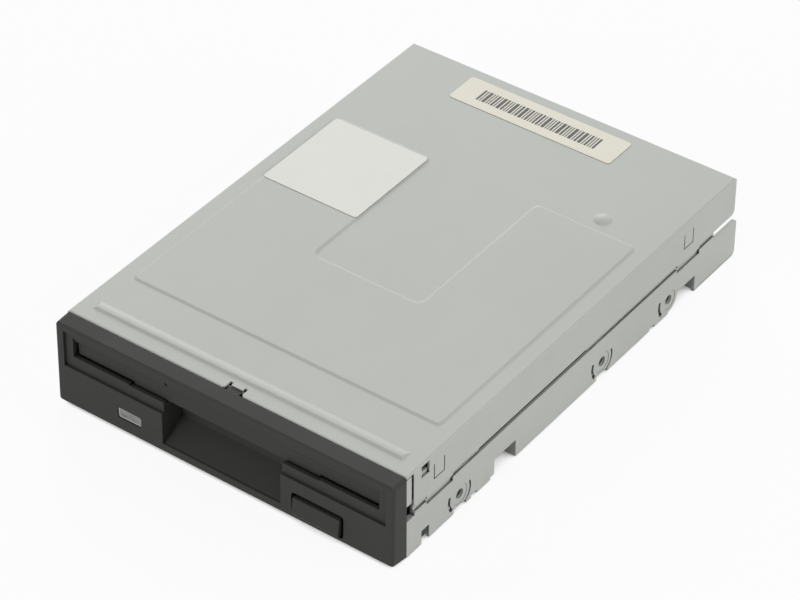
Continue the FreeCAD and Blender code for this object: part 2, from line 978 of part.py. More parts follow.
def dimple():
    ball = dimple_radius * dimple_radius / (2 * dimple_height) + dimple_height / 2
    centre = V(dimple_x, dimple_y, cover_top + dimple_height - ball)
    return Part.makeSphere(ball, centre).common(
        rod_z(dimple_x, dimple_y, dimple_radius, cover_under, cover_top + 1)
    )


def lance(y, inner, outer):
    """The U-shaped slit round a small tongue."""
    end = y + lance_length
    head = lance_foot + lance_height
    return [
        box(inner, outer, y, y + lance_slit, lance_foot, head),
        box(inner, outer, end - lance_slit, end, lance_foot, head),
        box(inner, outer, y, end, lance_foot, lance_foot + lance_slit),
    ]


def cover_flange():
    outer = half_width
    flange = box(cover_inner, outer, cover_flange_front, cover_rear, flange_foot, cover_top)
    tabs = [
        box(cover_inner, outer, y, y + tab_length, flange_foot - tab_drop, flange_foot)
        for y in (tab_1_start, tab_2_start)
    ]
    blank = fused([flange] + tabs)
    ends = (cover_flange_front, cover_rear)
    foot_edges = edges_where(blank, lambda p: near(p.z, flange_foot) and any(near(p.y, e) for e in ends))
    blank = blank.makeFillet(flange_corner, foot_edges)
    hole_end = latch_hole_foot + latch_hole_height
    inner = cover_inner - 1
    cuts = [
        box(
            inner,
            outer + 1,
            clip_window_start,
            clip_window_start + latch_hole_length,
            latch_hole_foot,
            hole_end,
        ),
    ]
    for y in (lance_1_start, lance_2_start):
        cuts += lance(y, inner, outer + 1)
    return cut_all(blank, cuts)


def top_cover():
    sheet = box(-half_width, half_width, cover_front, cover_rear, cover_under, cover_top)
    shell = fused([sheet] + both_sides(cover_flange()))
    bends = edges_where(shell, lambda p: near(p.z, cover_top) and near(abs(p.x), half_width))
    shell = shell.makeFillet(cover_bend, bends)
    notch_end = cover_front + cover_notch_deep
    relief_end = notch_end + cover_relief_deep
    relief_start = cover_notch_half - cover_relief_width
    notch = box(
        -cover_notch_half, cover_notch_half, cover_front - 1, notch_end, cover_under - 1, cover_top + 1
    )
    relief = box(relief_start, cover_notch_half, cover_front, relief_end, cover_under - 1, cover_top + 1)
    flare_x = cover_notch_half + cover_relief_width
    flare_y = cover_front + cover_relief_width
    flare = box(cover_notch_half, flare_x, cover_front - 1, flare_y, cover_under - 1, cover_top + 1)
    flare = flare.cut(rod_z(flare_x, flare_y, cover_relief_width, cover_under - 1, cover_top + 1))
    shell = cut_all(shell, [notch] + both_sides(relief) + both_sides(flare))
    return fused([shell, raised_u(), bead(), dimple()])


def label(left, width, front, length, foot):
    sheet = box(left, left + width, front, front + length, foot, foot + label_thick)
    upright = edges_where(sheet, lambda p: True)
    corners = [
        e
        for e in upright if near(e.Vertexes[0].X, e.Vertexes[1].X) and near(e.Vertexes[0].Y, e.Vertexes[1].Y)
    ]
    return sheet.makeFillet(label_corner, corners)


def plain_label():
    return label(
        plain_label_left, plain_label_width, plain_label_front, plain_label_length, cover_top + emboss
    )


def bar_label():
    return label(bar_label_left, bar_label_width, bar_label_front, bar_label_length, cover_top)


def biarc(p0, t0, p1, t1):
    """Two arcs that join the two ends and share their tangents."""
    v = p1 - p0
    a = 2 * (1 - t0.dot(t1))
    b = v.dot(t0 + t1)
    d = (math.sqrt(b * b + a * v.dot(v)) - b) / a
    join = (p0 + t0 * d + p1 - t1 * d) * 0.5
    return [tangent_arc(p0, t0, join), tangent_arc(p1, t1 * -1, join)[::-1]]


def tangent_arc(start, tangent, end):
    """Start, middle and end of the arc that leaves start along the tangent."""
    chord = end - start
    side = tangent - chord * (tangent.dot(chord) / chord.dot(chord))
    angle = tangent.getAngle(chord)
    bulge = chord.Length / 2 * math.tan(angle / 2)
    return [start, (start + end) * 0.5 + side.normalize() * bulge, end]


def coil_spring(name, radius, pitch, turns):
    """A wound wire along z from the origin, with a short straight tail at each end."""
    quarters = round(4 * turns)
    slope = pitch / (2 * math.pi)
    points = []
    tangents = []
    for i in range(quarters + 1):
        angle = i * math.pi / 2
        points.append(V(radius * math.cos(angle), radius * math.sin(angle), slope * angle))
        tangents.append(V(-radius * math.sin(angle), radius * math.cos(angle), slope).normalize())
    tail = 2 * spring_wire
    first = points[0] - tangents[0] * tail
    last = points[-1] + tangents[-1] * tail
    edges = [Part.makeLine(first, points[0])]
    for i in range(quarters):
        for arc in biarc(points[i], tangents[i], points[i + 1], tangents[i + 1]):
            edges.append(Part.Arc(*arc).toShape())
    edges.append(Part.makeLine(points[-1], last))
    path = Part.Wire(edges)
    report_gap(name, path)
    profile = Part.Wire([Part.makeCircle(spring_wire, first, tangents[0])])
    return path.makePipeShell([profile], True, False)


def report_gap(name, path):
    """Measure and print the least gap of a wound wire to itself."""
    samples = path.discretize(Distance=0.35)
    lengths = [0]
    for a, b in zip(samples, samples[1:]):
        lengths.append(lengths[-1] + a.distanceToPoint(b))
    least = path.Length
    for i, a in enumerate(samples):
        for j in range(i + 1, len(samples)):
            if lengths[j] - lengths[i] > 8 * spring_wire:
                least = min(least, a.distanceToPoint(samples[j]))
    print(name, "least gap to itself", round(least - 2 * spring_wire, 3), "mm")


def laid_along_y(shape, x, y, z):
    shape.rotate(V(0, 0, 0), X_AXIS, -90)
    shape.translate(V(x, y, z))
    return shape


def laid_along_x(shape, x, y, z):
    shape.rotate(V(0, 0, 0), Y_AXIS, 90)
    shape.translate(V(x, y, z))
    return shape


def flap_spring():
    room = flap_spring_room - 2 * spring_wire - 2 * running_gap
    turns = math.floor(4 * room / flap_spring_pitch) / 4
    start = flap_half - flap_spring_room + spring_wire + running_gap
    coil = coil_spring("flap_spring", flap_spring_radius, flap_spring_pitch, turns)
    return laid_along_x(coil, start, flap_axis_depth, flap_axis_height)


def eject_button():
    half = button_width / 2
    nose = [
        (flap_thick, button_top),
        (-button_brow, button_top),
        (-button_nose, button_nose_height),
        (-button_chin, button_foot),
        (flap_thick, button_foot),
    ]
    cap = prism_x(nose, button_centre - half, button_centre + half)
    stem_half = half - button_edge
    stem = box(
        button_centre - stem_half,
        button_centre + stem_half,
        flap_thick,
        button_stem_end,
        button_foot + button_edge,
        slider_foot,
    )
    return fused([cap, stem])


def lamp():
    z = window_foot + window_height / 2
    front = bezel_plate + flap_thick + seat_gap
    body = rod_y(window_centre, z, lamp_radius, front, front + lamp_length)
    wire_height = motor_board_foot - lamp_lead
    leads = [
        rod_y(
            window_centre + s * lamp_radius / 2,
            wire_height,
            lamp_lead,
            front + lamp_length - seat_gap,
            tongue_front + lead_lap,
        )
        for s in (-1, 1)
    ]
    return fused([body] + leads)


def capsule(p, q, radius, z0, z1):
    """An upright slot-shaped solid round the line from p to q."""
    (x0, y0), (x1, y1) = p, q
    length = math.hypot(x1 - x0, y1 - y0)
    nx = -(y1 - y0) / length * radius
    ny = (x1 - x0) / length * radius
    middle = prism_z(
        [(x0 + nx, y0 + ny), (x0 - nx, y0 - ny), (x1 - nx, y1 - ny), (x1 + nx, y1 + ny)], z0, z1
    )
    return fused([middle, rod_z(x0, y0, radius, z0, z1), rod_z(x1, y1, radius, z0, z1)])


def lever_point(degrees):
    angle = math.radians(degrees)
    return lever_x + lever_length * math.cos(angle), lever_y + lever_length * math.sin(angle)


def lever_slot():
    """The curved slot that the lever's finger sweeps through the holder."""
    reach = lever_finger_radius + slot_play
    z0 = holder_plate_foot - 1
    height = holder_plate_top + 1 - z0
    centre = V(lever_x, lever_y, z0)
    outer = Part.makeCylinder(lever_length + reach, height, centre, Z_AXIS, lever_turn)
    ring = outer.cut(Part.makeCylinder(lever_length - reach, height, centre))
    ring.rotate(centre, Z_AXIS, lever_rest_angle)
    ends = [
        rod_z(*lever_point(a), reach, z0, z0 + height)
        for a in (lever_rest_angle, lever_rest_angle + lever_turn)
    ]
    return fused([ring] + ends)


def disk_holder():
    plate = box(-holder_half, holder_half, holder_front, holder_rear, holder_plate_foot, holder_plate_top)
    edge = box(
        holder_half - holder_sheet,
        holder_half,
        holder_front,
        holder_flange_rear,
        holder_lip_foot,
        holder_plate_top,
    )
    lip = box(
        holder_half - holder_lip, holder_half, holder_front, holder_flange_rear, holder_lip_foot, disk_foot
    )
    rail = box(
        guide_rod_x - lift_rail_width / 2,
        guide_rod_x + lift_rail_width / 2,
        holder_flange_rear,
        lift_rail_end,
        holder_plate_foot,
        holder_plate_top,
    )
    window = box(
        -holder_window_half,
        holder_window_half,
        holder_window_start,
        holder_rear + 1,
        holder_plate_foot - 1,
        holder_plate_top + 1,
    )
    shell = fused([plate, rail] + both_sides(edge) + both_sides(lip))
    pivot = rod_z(lever_x, lever_y, lever_post_radius, holder_plate_foot - 1, holder_plate_top + 1)
    return cut_all(shell, [window, lever_slot(), pivot])


def holder_pins():
    pins = []
    for y in holder_pin_stations():
        pins += both_sides(rod_x(y, holder_pin_height, holder_pin_radius, holder_half, ear_outer - seat_gap))
    return group(pins)


def cam_slot(y):
    """The sloping slot that lowers one holder pin as the slider runs forward."""
    reach = holder_pin_radius + slider_gap
    x0 = slider_flange_inner - 1
    x1 = slider_half + 1
    low_y = y + slider_travel
    low_z = holder_pin_height - holder_drop
    length = math.hypot(slider_travel, holder_drop)
    ny = holder_drop / length * reach
    nz = slider_travel / length * reach
    corners = [
        (y + ny, holder_pin_height + nz),
        (y - ny, holder_pin_height - nz),
        (low_y - ny, low_z - nz),
        (low_y + ny, low_z + nz),
    ]
    ends = [rod_x(y, holder_pin_height, reach, x0, x1), rod_x(low_y, low_z, reach, x0, x1)]
    return fused([prism_x(corners, x0, x1)] + ends)


def slider_side():
    """The right strip and its upright flange with the two cam slots."""
    inner = slider_half - slider_strip
    strip = box(inner, slider_half, slider_front, slider_rear, slider_foot, slider_top)
    low = box(slider_flange_inner, slider_half, slider_front, slider_rear, slider_foot, slider_low_top)
    cheeks = [
        box(
            slider_flange_inner,
            slider_half,
            y - cam_cheek,
            y + slider_travel + cam_cheek,
            slider_foot,
            slider_flange_top,
        )
        for y in holder_pin_stations()
    ]
    hook_half = eject_spring_radius / 2
    x = eject_spring_x
    hook_top = eject_spring_height + eject_spring_radius
    hook = box(
        x - hook_half,
        x + hook_half,
        eject_spring_rear,
        eject_spring_rear + slider_sheet,
        slider_foot,
        hook_top,
    )
    side = fused([strip, low, hook] + cheeks)
    z0 = slider_foot - 1
    play = slider_pin_radius + slider_gap
    cuts = [cam_slot(y) for y in holder_pin_stations()]
    for y in slider_pin_stations():
        cuts.append(capsule((slider_pin_x, y), (slider_pin_x, y + slider_travel), play, z0, slider_top + 1))
    hook_room = box(
        x - hook_half - seat_gap,
        x + hook_half + seat_gap,
        eject_spring_front - chassis_sheet - seat_gap,
        eject_spring_front + slider_travel + seat_gap,
        z0,
        slider_top + 1,
    )
    return cut_all(side, cuts + [hook_room])


def latch_tab_front():
    return lever_y - lever_tail_forward + latch_gap


def eject_slider():
    inner = slider_half - slider_strip
    bar = box(-inner, inner, slider_front, slider_front + slider_bar, slider_foot, slider_top)
    tab = box(
        button_centre - slider_tab_half,
        button_centre + slider_tab_half,
        slider_tab_front,
        slider_front,
        slider_foot,
        slider_top,
    )
    front = latch_tab_front()
    latch_tab = box(
        -slider_half,
        -slider_flange_inner,
        front,
        front + latch_tab_length,
        slider_low_top,
        lever_top + latch_gap,
    )
    return fused([bar, tab, latch_tab] + both_sides(slider_side()))


def slider_guides():
    """Four headed pins on the chassis floor that keep the slider down and straight."""
    pins = []
    head_foot = slider_top + slider_gap
    for y in slider_pin_stations():
        shank = rod_z(slider_pin_x, y, slider_shank_radius, floor_foot, floor_top)
        body = rod_z(slider_pin_x, y, slider_pin_radius, floor_top, head_foot)
        head = rod_z(slider_pin_x, y, slider_head_radius, head_foot, head_foot + slider_head_thick)
        pins += both_sides(fused([shank, body, head]))
    return group(pins)


def eject_spring(name, side):
    tail = spring_wire + running_gap
    length = eject_spring_rear - eject_spring_front - 2 * tail
    turns = math.floor(4 * length / eject_spring_pitch) / 4
    coil = coil_spring(name, eject_spring_radius, eject_spring_pitch, turns)
    return laid_along_y(coil, side * eject_spring_x, eject_spring_front + tail, eject_spring_height)


def eject_spring_right():
    return eject_spring("eject_spring_right", 1)


def eject_spring_left():
    return eject_spring("eject_spring_left", -1)


def latch_lever():
    tip = lever_point(lever_rest_angle)
    arm = capsule((lever_x, lever_y), tip, lever_half_width, lever_foot, lever_top)
    finger = rod_z(*tip, lever_finger_radius, lever_foot - lever_finger_drop, lever_foot)
    outline = [
        (-lever_tail_root, lever_tail_root),
        (lever_tail_width - lever_tail_reach, -lever_tail_forward),
        (-lever_tail_reach, -lever_tail_forward),
        (-lever_tail_reach, -lever_tail_forward - lever_tail_width),
        (lever_tail_root, -lever_tail_root),
    ]
    tail = prism_z([(lever_x + x, lever_y + y) for x, y in outline], lever_foot, lever_top)
    bore = rod_z(lever_x, lever_y, lever_post_radius + running_gap, lever_foot - 1, lever_top + 1)
    return fused([arm, finger, tail]).cut(bore)


def latch_pivot():
    cap_foot = cover_under - seat_gap - lever_cap_thick
    post = rod_z(lever_x, lever_y, lever_post_radius, holder_plate_foot, cap_foot)
    return fused([post, rod_z(lever_x, lever_y, lever_cap_radius, cap_foot, cap_foot + lever_cap_thick)])


def latch_spring():
    start = lever_top + spring_wire + running_gap
    room = cover_under - seat_gap - lever_cap_thick - spring_wire - running_gap - start
    turns = math.floor(4 * room / latch_spring_pitch) / 4
    coil = coil_spring("latch_spring", latch_spring_radius, latch_spring_pitch, turns)
    coil.translate(V(lever_x, lever_y, start))
    return coil


def motor_board():
    disc = rod_z(0, spindle_y, motor_board_radius, motor_board_foot, motor_board_top)
    tongue = box(
        window_centre - motor_tongue_half,
        window_centre + motor_tongue_half,
        tongue_front,
        spindle_y,
        motor_board_foot,
        motor_board_top,
    )
    cuts = [rod_z(0, spindle_y, bush_radius, motor_board_foot - 1, motor_board_top + 1)]
    drill = screw_shank_radius + running_gap
    cuts += [rod_z(x, y, drill, motor_board_foot - 1, motor_board_top + 1) for x, y in motor_screw_places()]
    return cut_all(fused([disc, tongue]), cuts)


def motor_chip():
    half = motor_chip_size / 2
    y = spindle_y + motor_chip_back
    foot = motor_board_foot - chip_thick
    return box(-half, half, y - half, y + half, foot, motor_board_foot)


def bearing_bush():
    foot = motor_board_foot - bush_flange_thick
    sleeve = rod_z(0, spindle_y, bush_radius, foot, bush_top)
    flange = rod_z(0, spindle_y, bush_flange_radius, motor_board_top, motor_board_top + bush_flange_thick)
    return fused([sleeve, flange]).cut(rod_z(0, spindle_y, bush_bore, foot - 1, bush_top + 1))


def around_spindle(shape, count):
    """Copies of a shape made for the +x side, set evenly round the spindle."""
    copies = []
    for i in range(count):
        copy = shape.copy()
        copy.rotate(V(0, 0, 0), Z_AXIS, 360 * i / count)
        copy.translate(V(0, spindle_y, 0))
        copies.append(copy)
    return copies


def stator_core():
    foot = motor_board_top + bush_flange_thick
    top = foot + stator_thick
    outer = rotor_radius - rotor_sheet - magnet_width - air_gap
    yoke = rod_z(0, spindle_y, stator_yoke, foot, top)
    half = tooth_width / 2
    tooth = box(stator_yoke - half, outer - 1, -half, half, foot, top)
    shoe_ring = Part.makeCylinder(outer, stator_thick, V(0, 0, foot))
    shoe = shoe_ring.cut(Part.makeCylinder(outer - shoe_depth, stator_thick, V(0, 0, foot)))
    shoe = shoe.common(box(0, outer + 1, -shoe_half, shoe_half, foot, top))
    core = fused([yoke] + around_spindle(fused([tooth, shoe]), stator_teeth))
    return core.cut(rod_z(0, spindle_y, bush_radius, foot - 1, top + 1))


def stator_coils():
    foot = motor_board_top + bush_flange_thick
    half = tooth_width / 2
    top = foot + stator_thick
    block = box(
        coil_start, coil_end, -half - coil_thick, half + coil_thick, foot - coil_thick, top + coil_thick
    )
    coil = block.cut(box(coil_start - 1, coil_end + 1, -half, half, foot, top))
    return group(around_spindle(coil, stator_teeth))


def rotor_cup():
    under = rotor_top - rotor_sheet
    wall = rod_z(0, spindle_y, rotor_radius, rotor_foot, rotor_top)
    room = rod_z(0, spindle_y, rotor_radius - rotor_sheet, rotor_foot - 1, under)
    return wall.cut(room).cut(rod_z(0, spindle_y, shaft_radius, under - 1, rotor_top + 1))


def ring_magnet():
    outer = rotor_radius - rotor_sheet
    ring = rod_z(0, spindle_y, outer, rotor_foot, rotor_top - rotor_sheet)
    return ring.cut(rod_z(0, spindle_y, outer - magnet_width, rotor_foot - 1, rotor_top))


def spindle_shaft():
    return rod_z(0, spindle_y, shaft_radius, shaft_foot, shaft_top)


def chuck_plate():
    plate = rod_z(0, spindle_y, chuck_radius, rotor_top, chuck_top)
    pin_x, pin_y = drive_pin_place()
    cuts = [
        rod_z(0, spindle_y, shaft_radius, rotor_top - 1, chuck_top + 1),
        rod_z(pin_x, pin_y, drive_pin_radius, rotor_top - 1, chuck_top + 1),
    ]
    return cut_all(plate, cuts)


def drive_pin_place():
    angle = math.radians(drive_pin_angle)
    return drive_pin_offset * math.cos(angle), spindle_y + drive_pin_offset * math.sin(angle)


def drive_pin():
    return rod_z(*drive_pin_place(), drive_pin_radius, rotor_top, drive_pin_top)


def index_sensor():
    half = index_size / 2
    x = rotor_radius + index_size / 2 + 2 * seat_gap
    return box(x - half, x + half, spindle_y - half, spindle_y + half, motor_board_top, rotor_foot + half)


def head_carriage():
    rear = carriage_rear
    half = carriage_half
    base = box(-half, half, carriage_front, rear, carriage_foot, carriage_deck)
    back = box(-half, half, arm_axis_y - carriage_back, rear, carriage_deck, carriage_back_top)
    lug = box(
        half - arm_lug,
        half,
        arm_axis_y - carriage_back,
        rear,
        carriage_back_top,
        arm_axis_height + arm_lug / 2,
    )
    leaf_post = box(
        -arm_spring_half, arm_spring_half, rear - leaf_post_length, rear, carriage_back_top, leaf_foot
    )
    arm = box(
        -lower_arm_half,
        lower_arm_half,
        head_rest_y - arm_nose,
        carriage_front,
        carriage_deck - lower_arm_thick,
        carriage_deck,
    )
    x = guide_rod_x
    z = guide_rod_height
    sleeve = rod_y(x, z, sleeve_radius, carriage_front, rear)
    web = box(half - 1, x, carriage_front, rear, carriage_foot, carriage_deck)
    tip = stepper_x + screw_radius + seat_gap
    follower_front = carriage_front - follower_thick
    follower = box(
        tip, half, follower_front, carriage_front + follower_thick, z - follower_thick, z + follower_thick
    )
    follower = follower.cut(
        box(-lower_arm_half, half + 1, follower_front - 1, carriage_front, 0, z + 2 * follower_thick)
    )
    flag_x = sensor_x - flag_thick / 2
    flag_top = z + sleeve_radius
    flag = box(flag_x, flag_x + flag_thick, flag_front, flag_front + flag_length, z - flag_thick, flag_top)
    flag_arm = box(x, flag_x, flag_front, flag_front + flag_length / 2, flag_top - flag_thick, flag_top)
    solid = fused([base, back, leaf_post, arm, sleeve, web, follower, flag, flag_arm] + both_sides(lug))
    cuts = [
        rod_y(x, z, guide_rod_radius + running_gap, carriage_front - 1, rear + 1),
        rod_x(arm_axis_y, arm_axis_height, arm_pin_radius, -half - 1, half + 1),
    ]
    return cut_all(solid, cuts)


def lower_head():
    return rod_z(0, head_rest_y, head_radius, carriage_deck, head_face)


def upper_head_arm():
    top = upper_arm_foot + upper_arm_thick
    half = upper_arm_half
    bar = box(-half, half, head_rest_y - upper_arm_nose, arm_axis_y + seat_gap, upper_arm_foot, top)
    pad_foot = upper_head_face + upper_arm_thick
    pad = rod_z(0, head_rest_y, head_radius, pad_foot, top)
    wing_foot = holder_plate_top + seat_gap
    wing = box(0, guide_rod_x + arm_wing_reach, arm_wing_y, arm_wing_y + arm_wing_length, wing_foot, top)
    barrel = rod_x(arm_axis_y, arm_axis_height, arm_barrel_radius, -arm_barrel_half, arm_barrel_half)
    bore = rod_x(arm_axis_y, arm_axis_height, arm_pin_radius + running_gap, -carriage_half, carriage_half)
    return fused([bar, pad, wing, barrel]).cut(bore)


def upper_head():
    return rod_z(0, head_rest_y, head_radius, upper_head_face, upper_head_face + upper_arm_thick)


def arm_pivot_pin():
    return rod_x(arm_axis_y, arm_axis_height, arm_pin_radius, -carriage_half, carriage_half)


def arm_spring():
    front = arm_axis_y - carriage_back - arm_spring_reach
    return box(
        -arm_spring_half, arm_spring_half, front, carriage_rear, leaf_foot, leaf_foot + arm_spring_thick
    )


def guide_rod():
    return rod_y(guide_rod_x, guide_rod_height, guide_rod_radius, guide_rod_front, guide_rod_rear)


def rod_clamp_starts():
    return guide_rod_front, guide_rod_rear - rod_clamp_length


def clamp_screw_places():
    return [(clamp_screw_x, y + rod_clamp_length / 2) for y in rod_clamp_starts()]


def rod_clamps():
    clamps = []
    foot_end = clamp_screw_x + small_head_radius + running_gap
    for y, place in zip(rod_clamp_starts(), clamp_screw_places()):
        end = y + rod_clamp_length
        x = guide_rod_x
        block = box(
            x - sleeve_radius, x + sleeve_radius, y, end, floor_top, guide_rod_height + sleeve_radius
        )
        foot = box(x, foot_end, y, end, floor_top, floor_top + clamp_foot_thick)
        tools = [
            rod_y(x, guide_rod_height, guide_rod_radius, y - 1, end + 1),
            rod_z(*place, small_shank_radius + running_gap, floor_top - 1, floor_top + clamp_foot_thick + 1),
        ]
        clamps.append(cut_all(fused([block, foot]), tools))
    return group(clamps)


def stepper_can():
    return rod_y(stepper_x, guide_rod_height, stepper_radius, stepper_front, stepper_front + stepper_length)


def bracket_screw_places():
    return [
        (bracket_screw_x, y)
        for y in (screw_front + bracket_screw_inset, stepper_front - bracket_screw_inset)
    ]


def stepper_bracket():
    z = guide_rod_height
    rear = stepper_front
    left = bracket_screw_x - bracket_half
    right = bracket_screw_x + bracket_half
    front = screw_front - seat_gap
    base = box(left, right, front, rear, floor_top, floor_top + bracket_sheet)
    end = box(
        left,
        stepper_x + 2 * screw_radius,
        front,
        front + bracket_sheet,
        floor_top,
        z + screw_radius + bracket_sheet,
    )
    face = box(left, stepper_x + stepper_radius, rear - bracket_sheet, rear, floor_top, z + stepper_radius)
    solid = fused([base, end, face])
    tools = [
        rod_y(stepper_x, z, screw_radius + running_gap, front - 1, front + bracket_sheet + 1),
        rod_y(stepper_x, z, screw_radius + seat_gap, rear - bracket_sheet - 1, rear + 1),
    ]
    drill = small_shank_radius + running_gap
    tools += [rod_z(x, y, drill, floor_top - 1, floor_top + 1) for x, y in bracket_screw_places()]
    return cut_all(solid, tools)


def lead_screw():
    return rod_y(stepper_x, guide_rod_height, screw_radius, screw_front, stepper_front)


def track_sensor():
    slot = flag_thick / 2 + 2 * seat_gap
    outer = slot + sensor_wall
    top = guide_rod_height + sleeve_radius - flag_thick - seat_gap
    block = box(sensor_x - outer, sensor_x + outer, flag_front, flag_front + flag_length, floor_top, top)
    foot = guide_rod_height - flag_thick - 2 * seat_gap
    return block.cut(
        box(sensor_x - slot, sensor_x + slot, flag_front - 1, flag_front + flag_length + 1, foot, top + 1)
    )


def main_board():
    board = box(
        main_board_left,
        main_board_right,
        main_board_front,
        main_board_rear,
        main_board_foot,
        main_board_top,
    )
    drill = screw_shank_radius + running_gap
    cuts = [rod_z(x, y, drill, main_board_foot - 1, main_board_top + 1) for x, y in standoff_places()]
    return cut_all(board, cuts)


def control_chip():
    half = control_chip_size / 2
    x = -control_chip_left
    y = (main_board_front + main_board_rear) / 2
    return box(x - half, x + half, y - half, y + half, main_board_foot - chip_thick, main_board_foot)


def small_chips():
    chips = []
    right = main_board_right - small_chip_inset
    front = main_board_front + small_chip_inset
    rear = main_board_rear - small_chip_inset
    for x, y in ((main_board_left + small_chip_inset, front), (right, front), (right, rear)):
        chips.append(
            box(
                x - small_chip_length / 2,
                x + small_chip_length / 2,
                y - small_chip_width / 2,
                y + small_chip_width / 2,
                main_board_foot - chip_thick,
                main_board_foot,
            )
        )
    return group(chips)


def capacitors():
    top = main_board_top + capacitor_height
    y = main_board_front + small_chip_inset + capacitor_spacing
    right = main_board_right - capacitor_inset
    places = ((main_board_left + capacitor_inset, y), (right, y), (right, y + capacitor_spacing))
    return group([rod_z(x, y, capacitor_radius, main_board_top, top) for x, y in places])


def header_body(x, width, height, rows):
    """A box open to the rear, its front wall pierced by the pins."""
    block = box(
        x - width / 2,
        x + width / 2,
        connector_front,
        main_board_rear,
        main_board_top,
        main_board_top + height,
    )
    cavity_front = main_board_rear - header_cavity_deep
    wall = signal_wall if rows == 2 else power_wall
    cavity = box(
        x - width / 2 + signal_wall,
        x + width / 2 - signal_wall,
        cavity_front,
        main_board_rear + 1,
        main_board_top + wall,
        main_board_top + height - wall,
    )
    return block.cut(cavity)


def header_pins(x, columns, heights):
    """Bent pins: straight into the cavity, down to the board in front of the body."""
    pins = []
    half = pin_size / 2
    for i in range(columns):
        px = x + (i - (columns - 1) / 2) * pin_pitch
        for row, z in enumerate(heights):
            bend = connector_front - running_gap - pin_size - row * pin_size * 2
            end = main_board_rear - pin_size * 2
            level = box(px - half, px + half, bend, end, z - half, z + half)
            drop = box(px - half, px + half, bend, bend + pin_size, main_board_top, z)
            pins.append(fused([level, drop]))
    return pins


def signal_heights():
    middle = main_board_top + signal_height / 2
    return middle - pin_pitch / 2, middle + pin_pitch / 2


def signal_pins():
    return group(header_pins(signal_x, signal_columns, signal_heights()))


def power_pins():
    return group(header_pins(power_x, power_columns, [main_board_top + power_height / 2]))


def signal_header():
    body = header_body(signal_x, signal_width, signal_height, 2)
    return cut_all(body, header_pins(signal_x, signal_columns, signal_heights()))


def power_header():
    body = header_body(power_x, power_width, power_height, 1)
    return cut_all(body, header_pins(power_x, power_columns, [main_board_top + power_height / 2]))


def sensor_boards():
    boards = []
    margin = sensor_board_margin
    top = floor_top + sensor_board_thick
    for x0, x1 in ((density_x, density_x), (disk_in_x, write_protect_x)):
        boards.append(box(x0 - margin, x1 + margin, switch_y - margin, switch_y + margin, floor_top, top))
    return group(boards)


def switch_block(x):
    foot = floor_top + sensor_board_thick
    half = switch_size / 2
    top = foot + switch_height
    block = box(x - half, x + half, switch_y - half, switch_y + half, foot, top)
    bore = plunger_radius + running_gap
    well = rod_z(x, switch_y, plunger_collar_radius + running_gap, foot + switch_floor, top - switch_floor)
    return block.cut(fused([well, rod_z(x, switch_y, bore, top - 2 * switch_floor, top + 1)]))


def switch_blocks():
    return group([switch_block(x) for x in (write_protect_x, disk_in_x, density_x)])


def plunger(x):
    """A small pin with a collar that the switch block keeps from coming out."""
    collar_top = floor_top + sensor_board_thick + switch_height - switch_floor
    stem = rod_z(x, switch_y, plunger_radius, collar_top, plunger_top)
    return fused(
        [stem, rod_z(x, switch_y, plunger_collar_radius, collar_top - plunger_collar_thick, collar_top)]
    )


def write_protect_plunger():
    return plunger(write_protect_x)


def disk_in_plunger():
    return plunger(disk_in_x)


def density_plunger():
    return plunger(density_x)


def screw(x, y, radius, head, z_head, z_tip):
    """A screw with its head's seat at z_head and its tip at z_tip."""
    side = 1 if z_head > z_tip else -1
    low, high = sorted((z_head, z_tip))
    shank = rod_z(x, y, radius, low, high)
    head_low, head_high = sorted((z_head, z_head + side * screw_head_thick))
    cap = rod_z(x, y, head, head_low, head_high)
    middle = z_head + side * screw_head_thick
    low, high = sorted((middle - side * recess_depth, middle + side))
    long_half = head - recess_width
    cross = [
        box(x - long_half, x + long_half, y - recess_width / 2, y + recess_width / 2, low, high),
        box(x - recess_width / 2, x + recess_width / 2, y - long_half, y + long_half, low, high),
    ]
    return cut_all(fused([shank, cap]), cross)


def board_screws():
    places = standoff_places()
    return group(
        [screw(x, y, screw_shank_radius, screw_head_radius, main_board_foot, floor_foot) for x, y in places]
    )


def motor_screws():
    places = motor_screw_places()
    return group(
        [screw(x, y, screw_shank_radius, screw_head_radius, motor_board_foot, floor_top) for x, y in places]
    )


def bracket_screws():
    seat = floor_top + bracket_sheet
    places = bracket_screw_places()
    return group([screw(x, y, small_shank_radius, small_head_radius, seat, floor_foot) for x, y in places])


def clamp_screws():
    seat = floor_top + clamp_foot_thick
    places = clamp_screw_places()
    return group([screw(x, y, small_shank_radius, small_head_radius, seat, floor_foot) for x, y in places])


PIECES = [
    front_bezel, dust_flap, flap_spring, eject_button, lamp_lens, lamp, chassis, top_cover, plain_label,
    bar_label, disk_holder, holder_pins, eject_slider, slider_guides, eject_spring_right, eject_spring_left,
    latch_lever, latch_pivot, latch_spring, motor_board, motor_chip, bearing_bush, stator_core, stator_coils,
    rotor_cup, ring_magnet, spindle_shaft, chuck_plate, drive_pin, index_sensor, head_carriage, lower_head,
    upper_head_arm, upper_head, arm_pivot_pin, arm_spring, guide_rod, rod_clamps, stepper_can,
    stepper_bracket, lead_screw, track_sensor, main_board, control_chip, small_chips, capacitors,
    signal_header, signal_pins, power_header, power_pins, sensor_boards, switch_blocks,
    write_protect_plunger, disk_in_plunger, density_plunger, board_screws, motor_screws, bracket_screws,
    clamp_screws,
]

os.makedirs("parts", exist_ok=True)
for piece in PIECES:
    shape = piece()
    shape.translate(V(0, -middle_y, 0))
    shape.exportStep("parts/" + piece.__name__ + ".step")
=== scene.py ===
import bpy, bmesh, json, math
from mathutils import Matrix, Vector

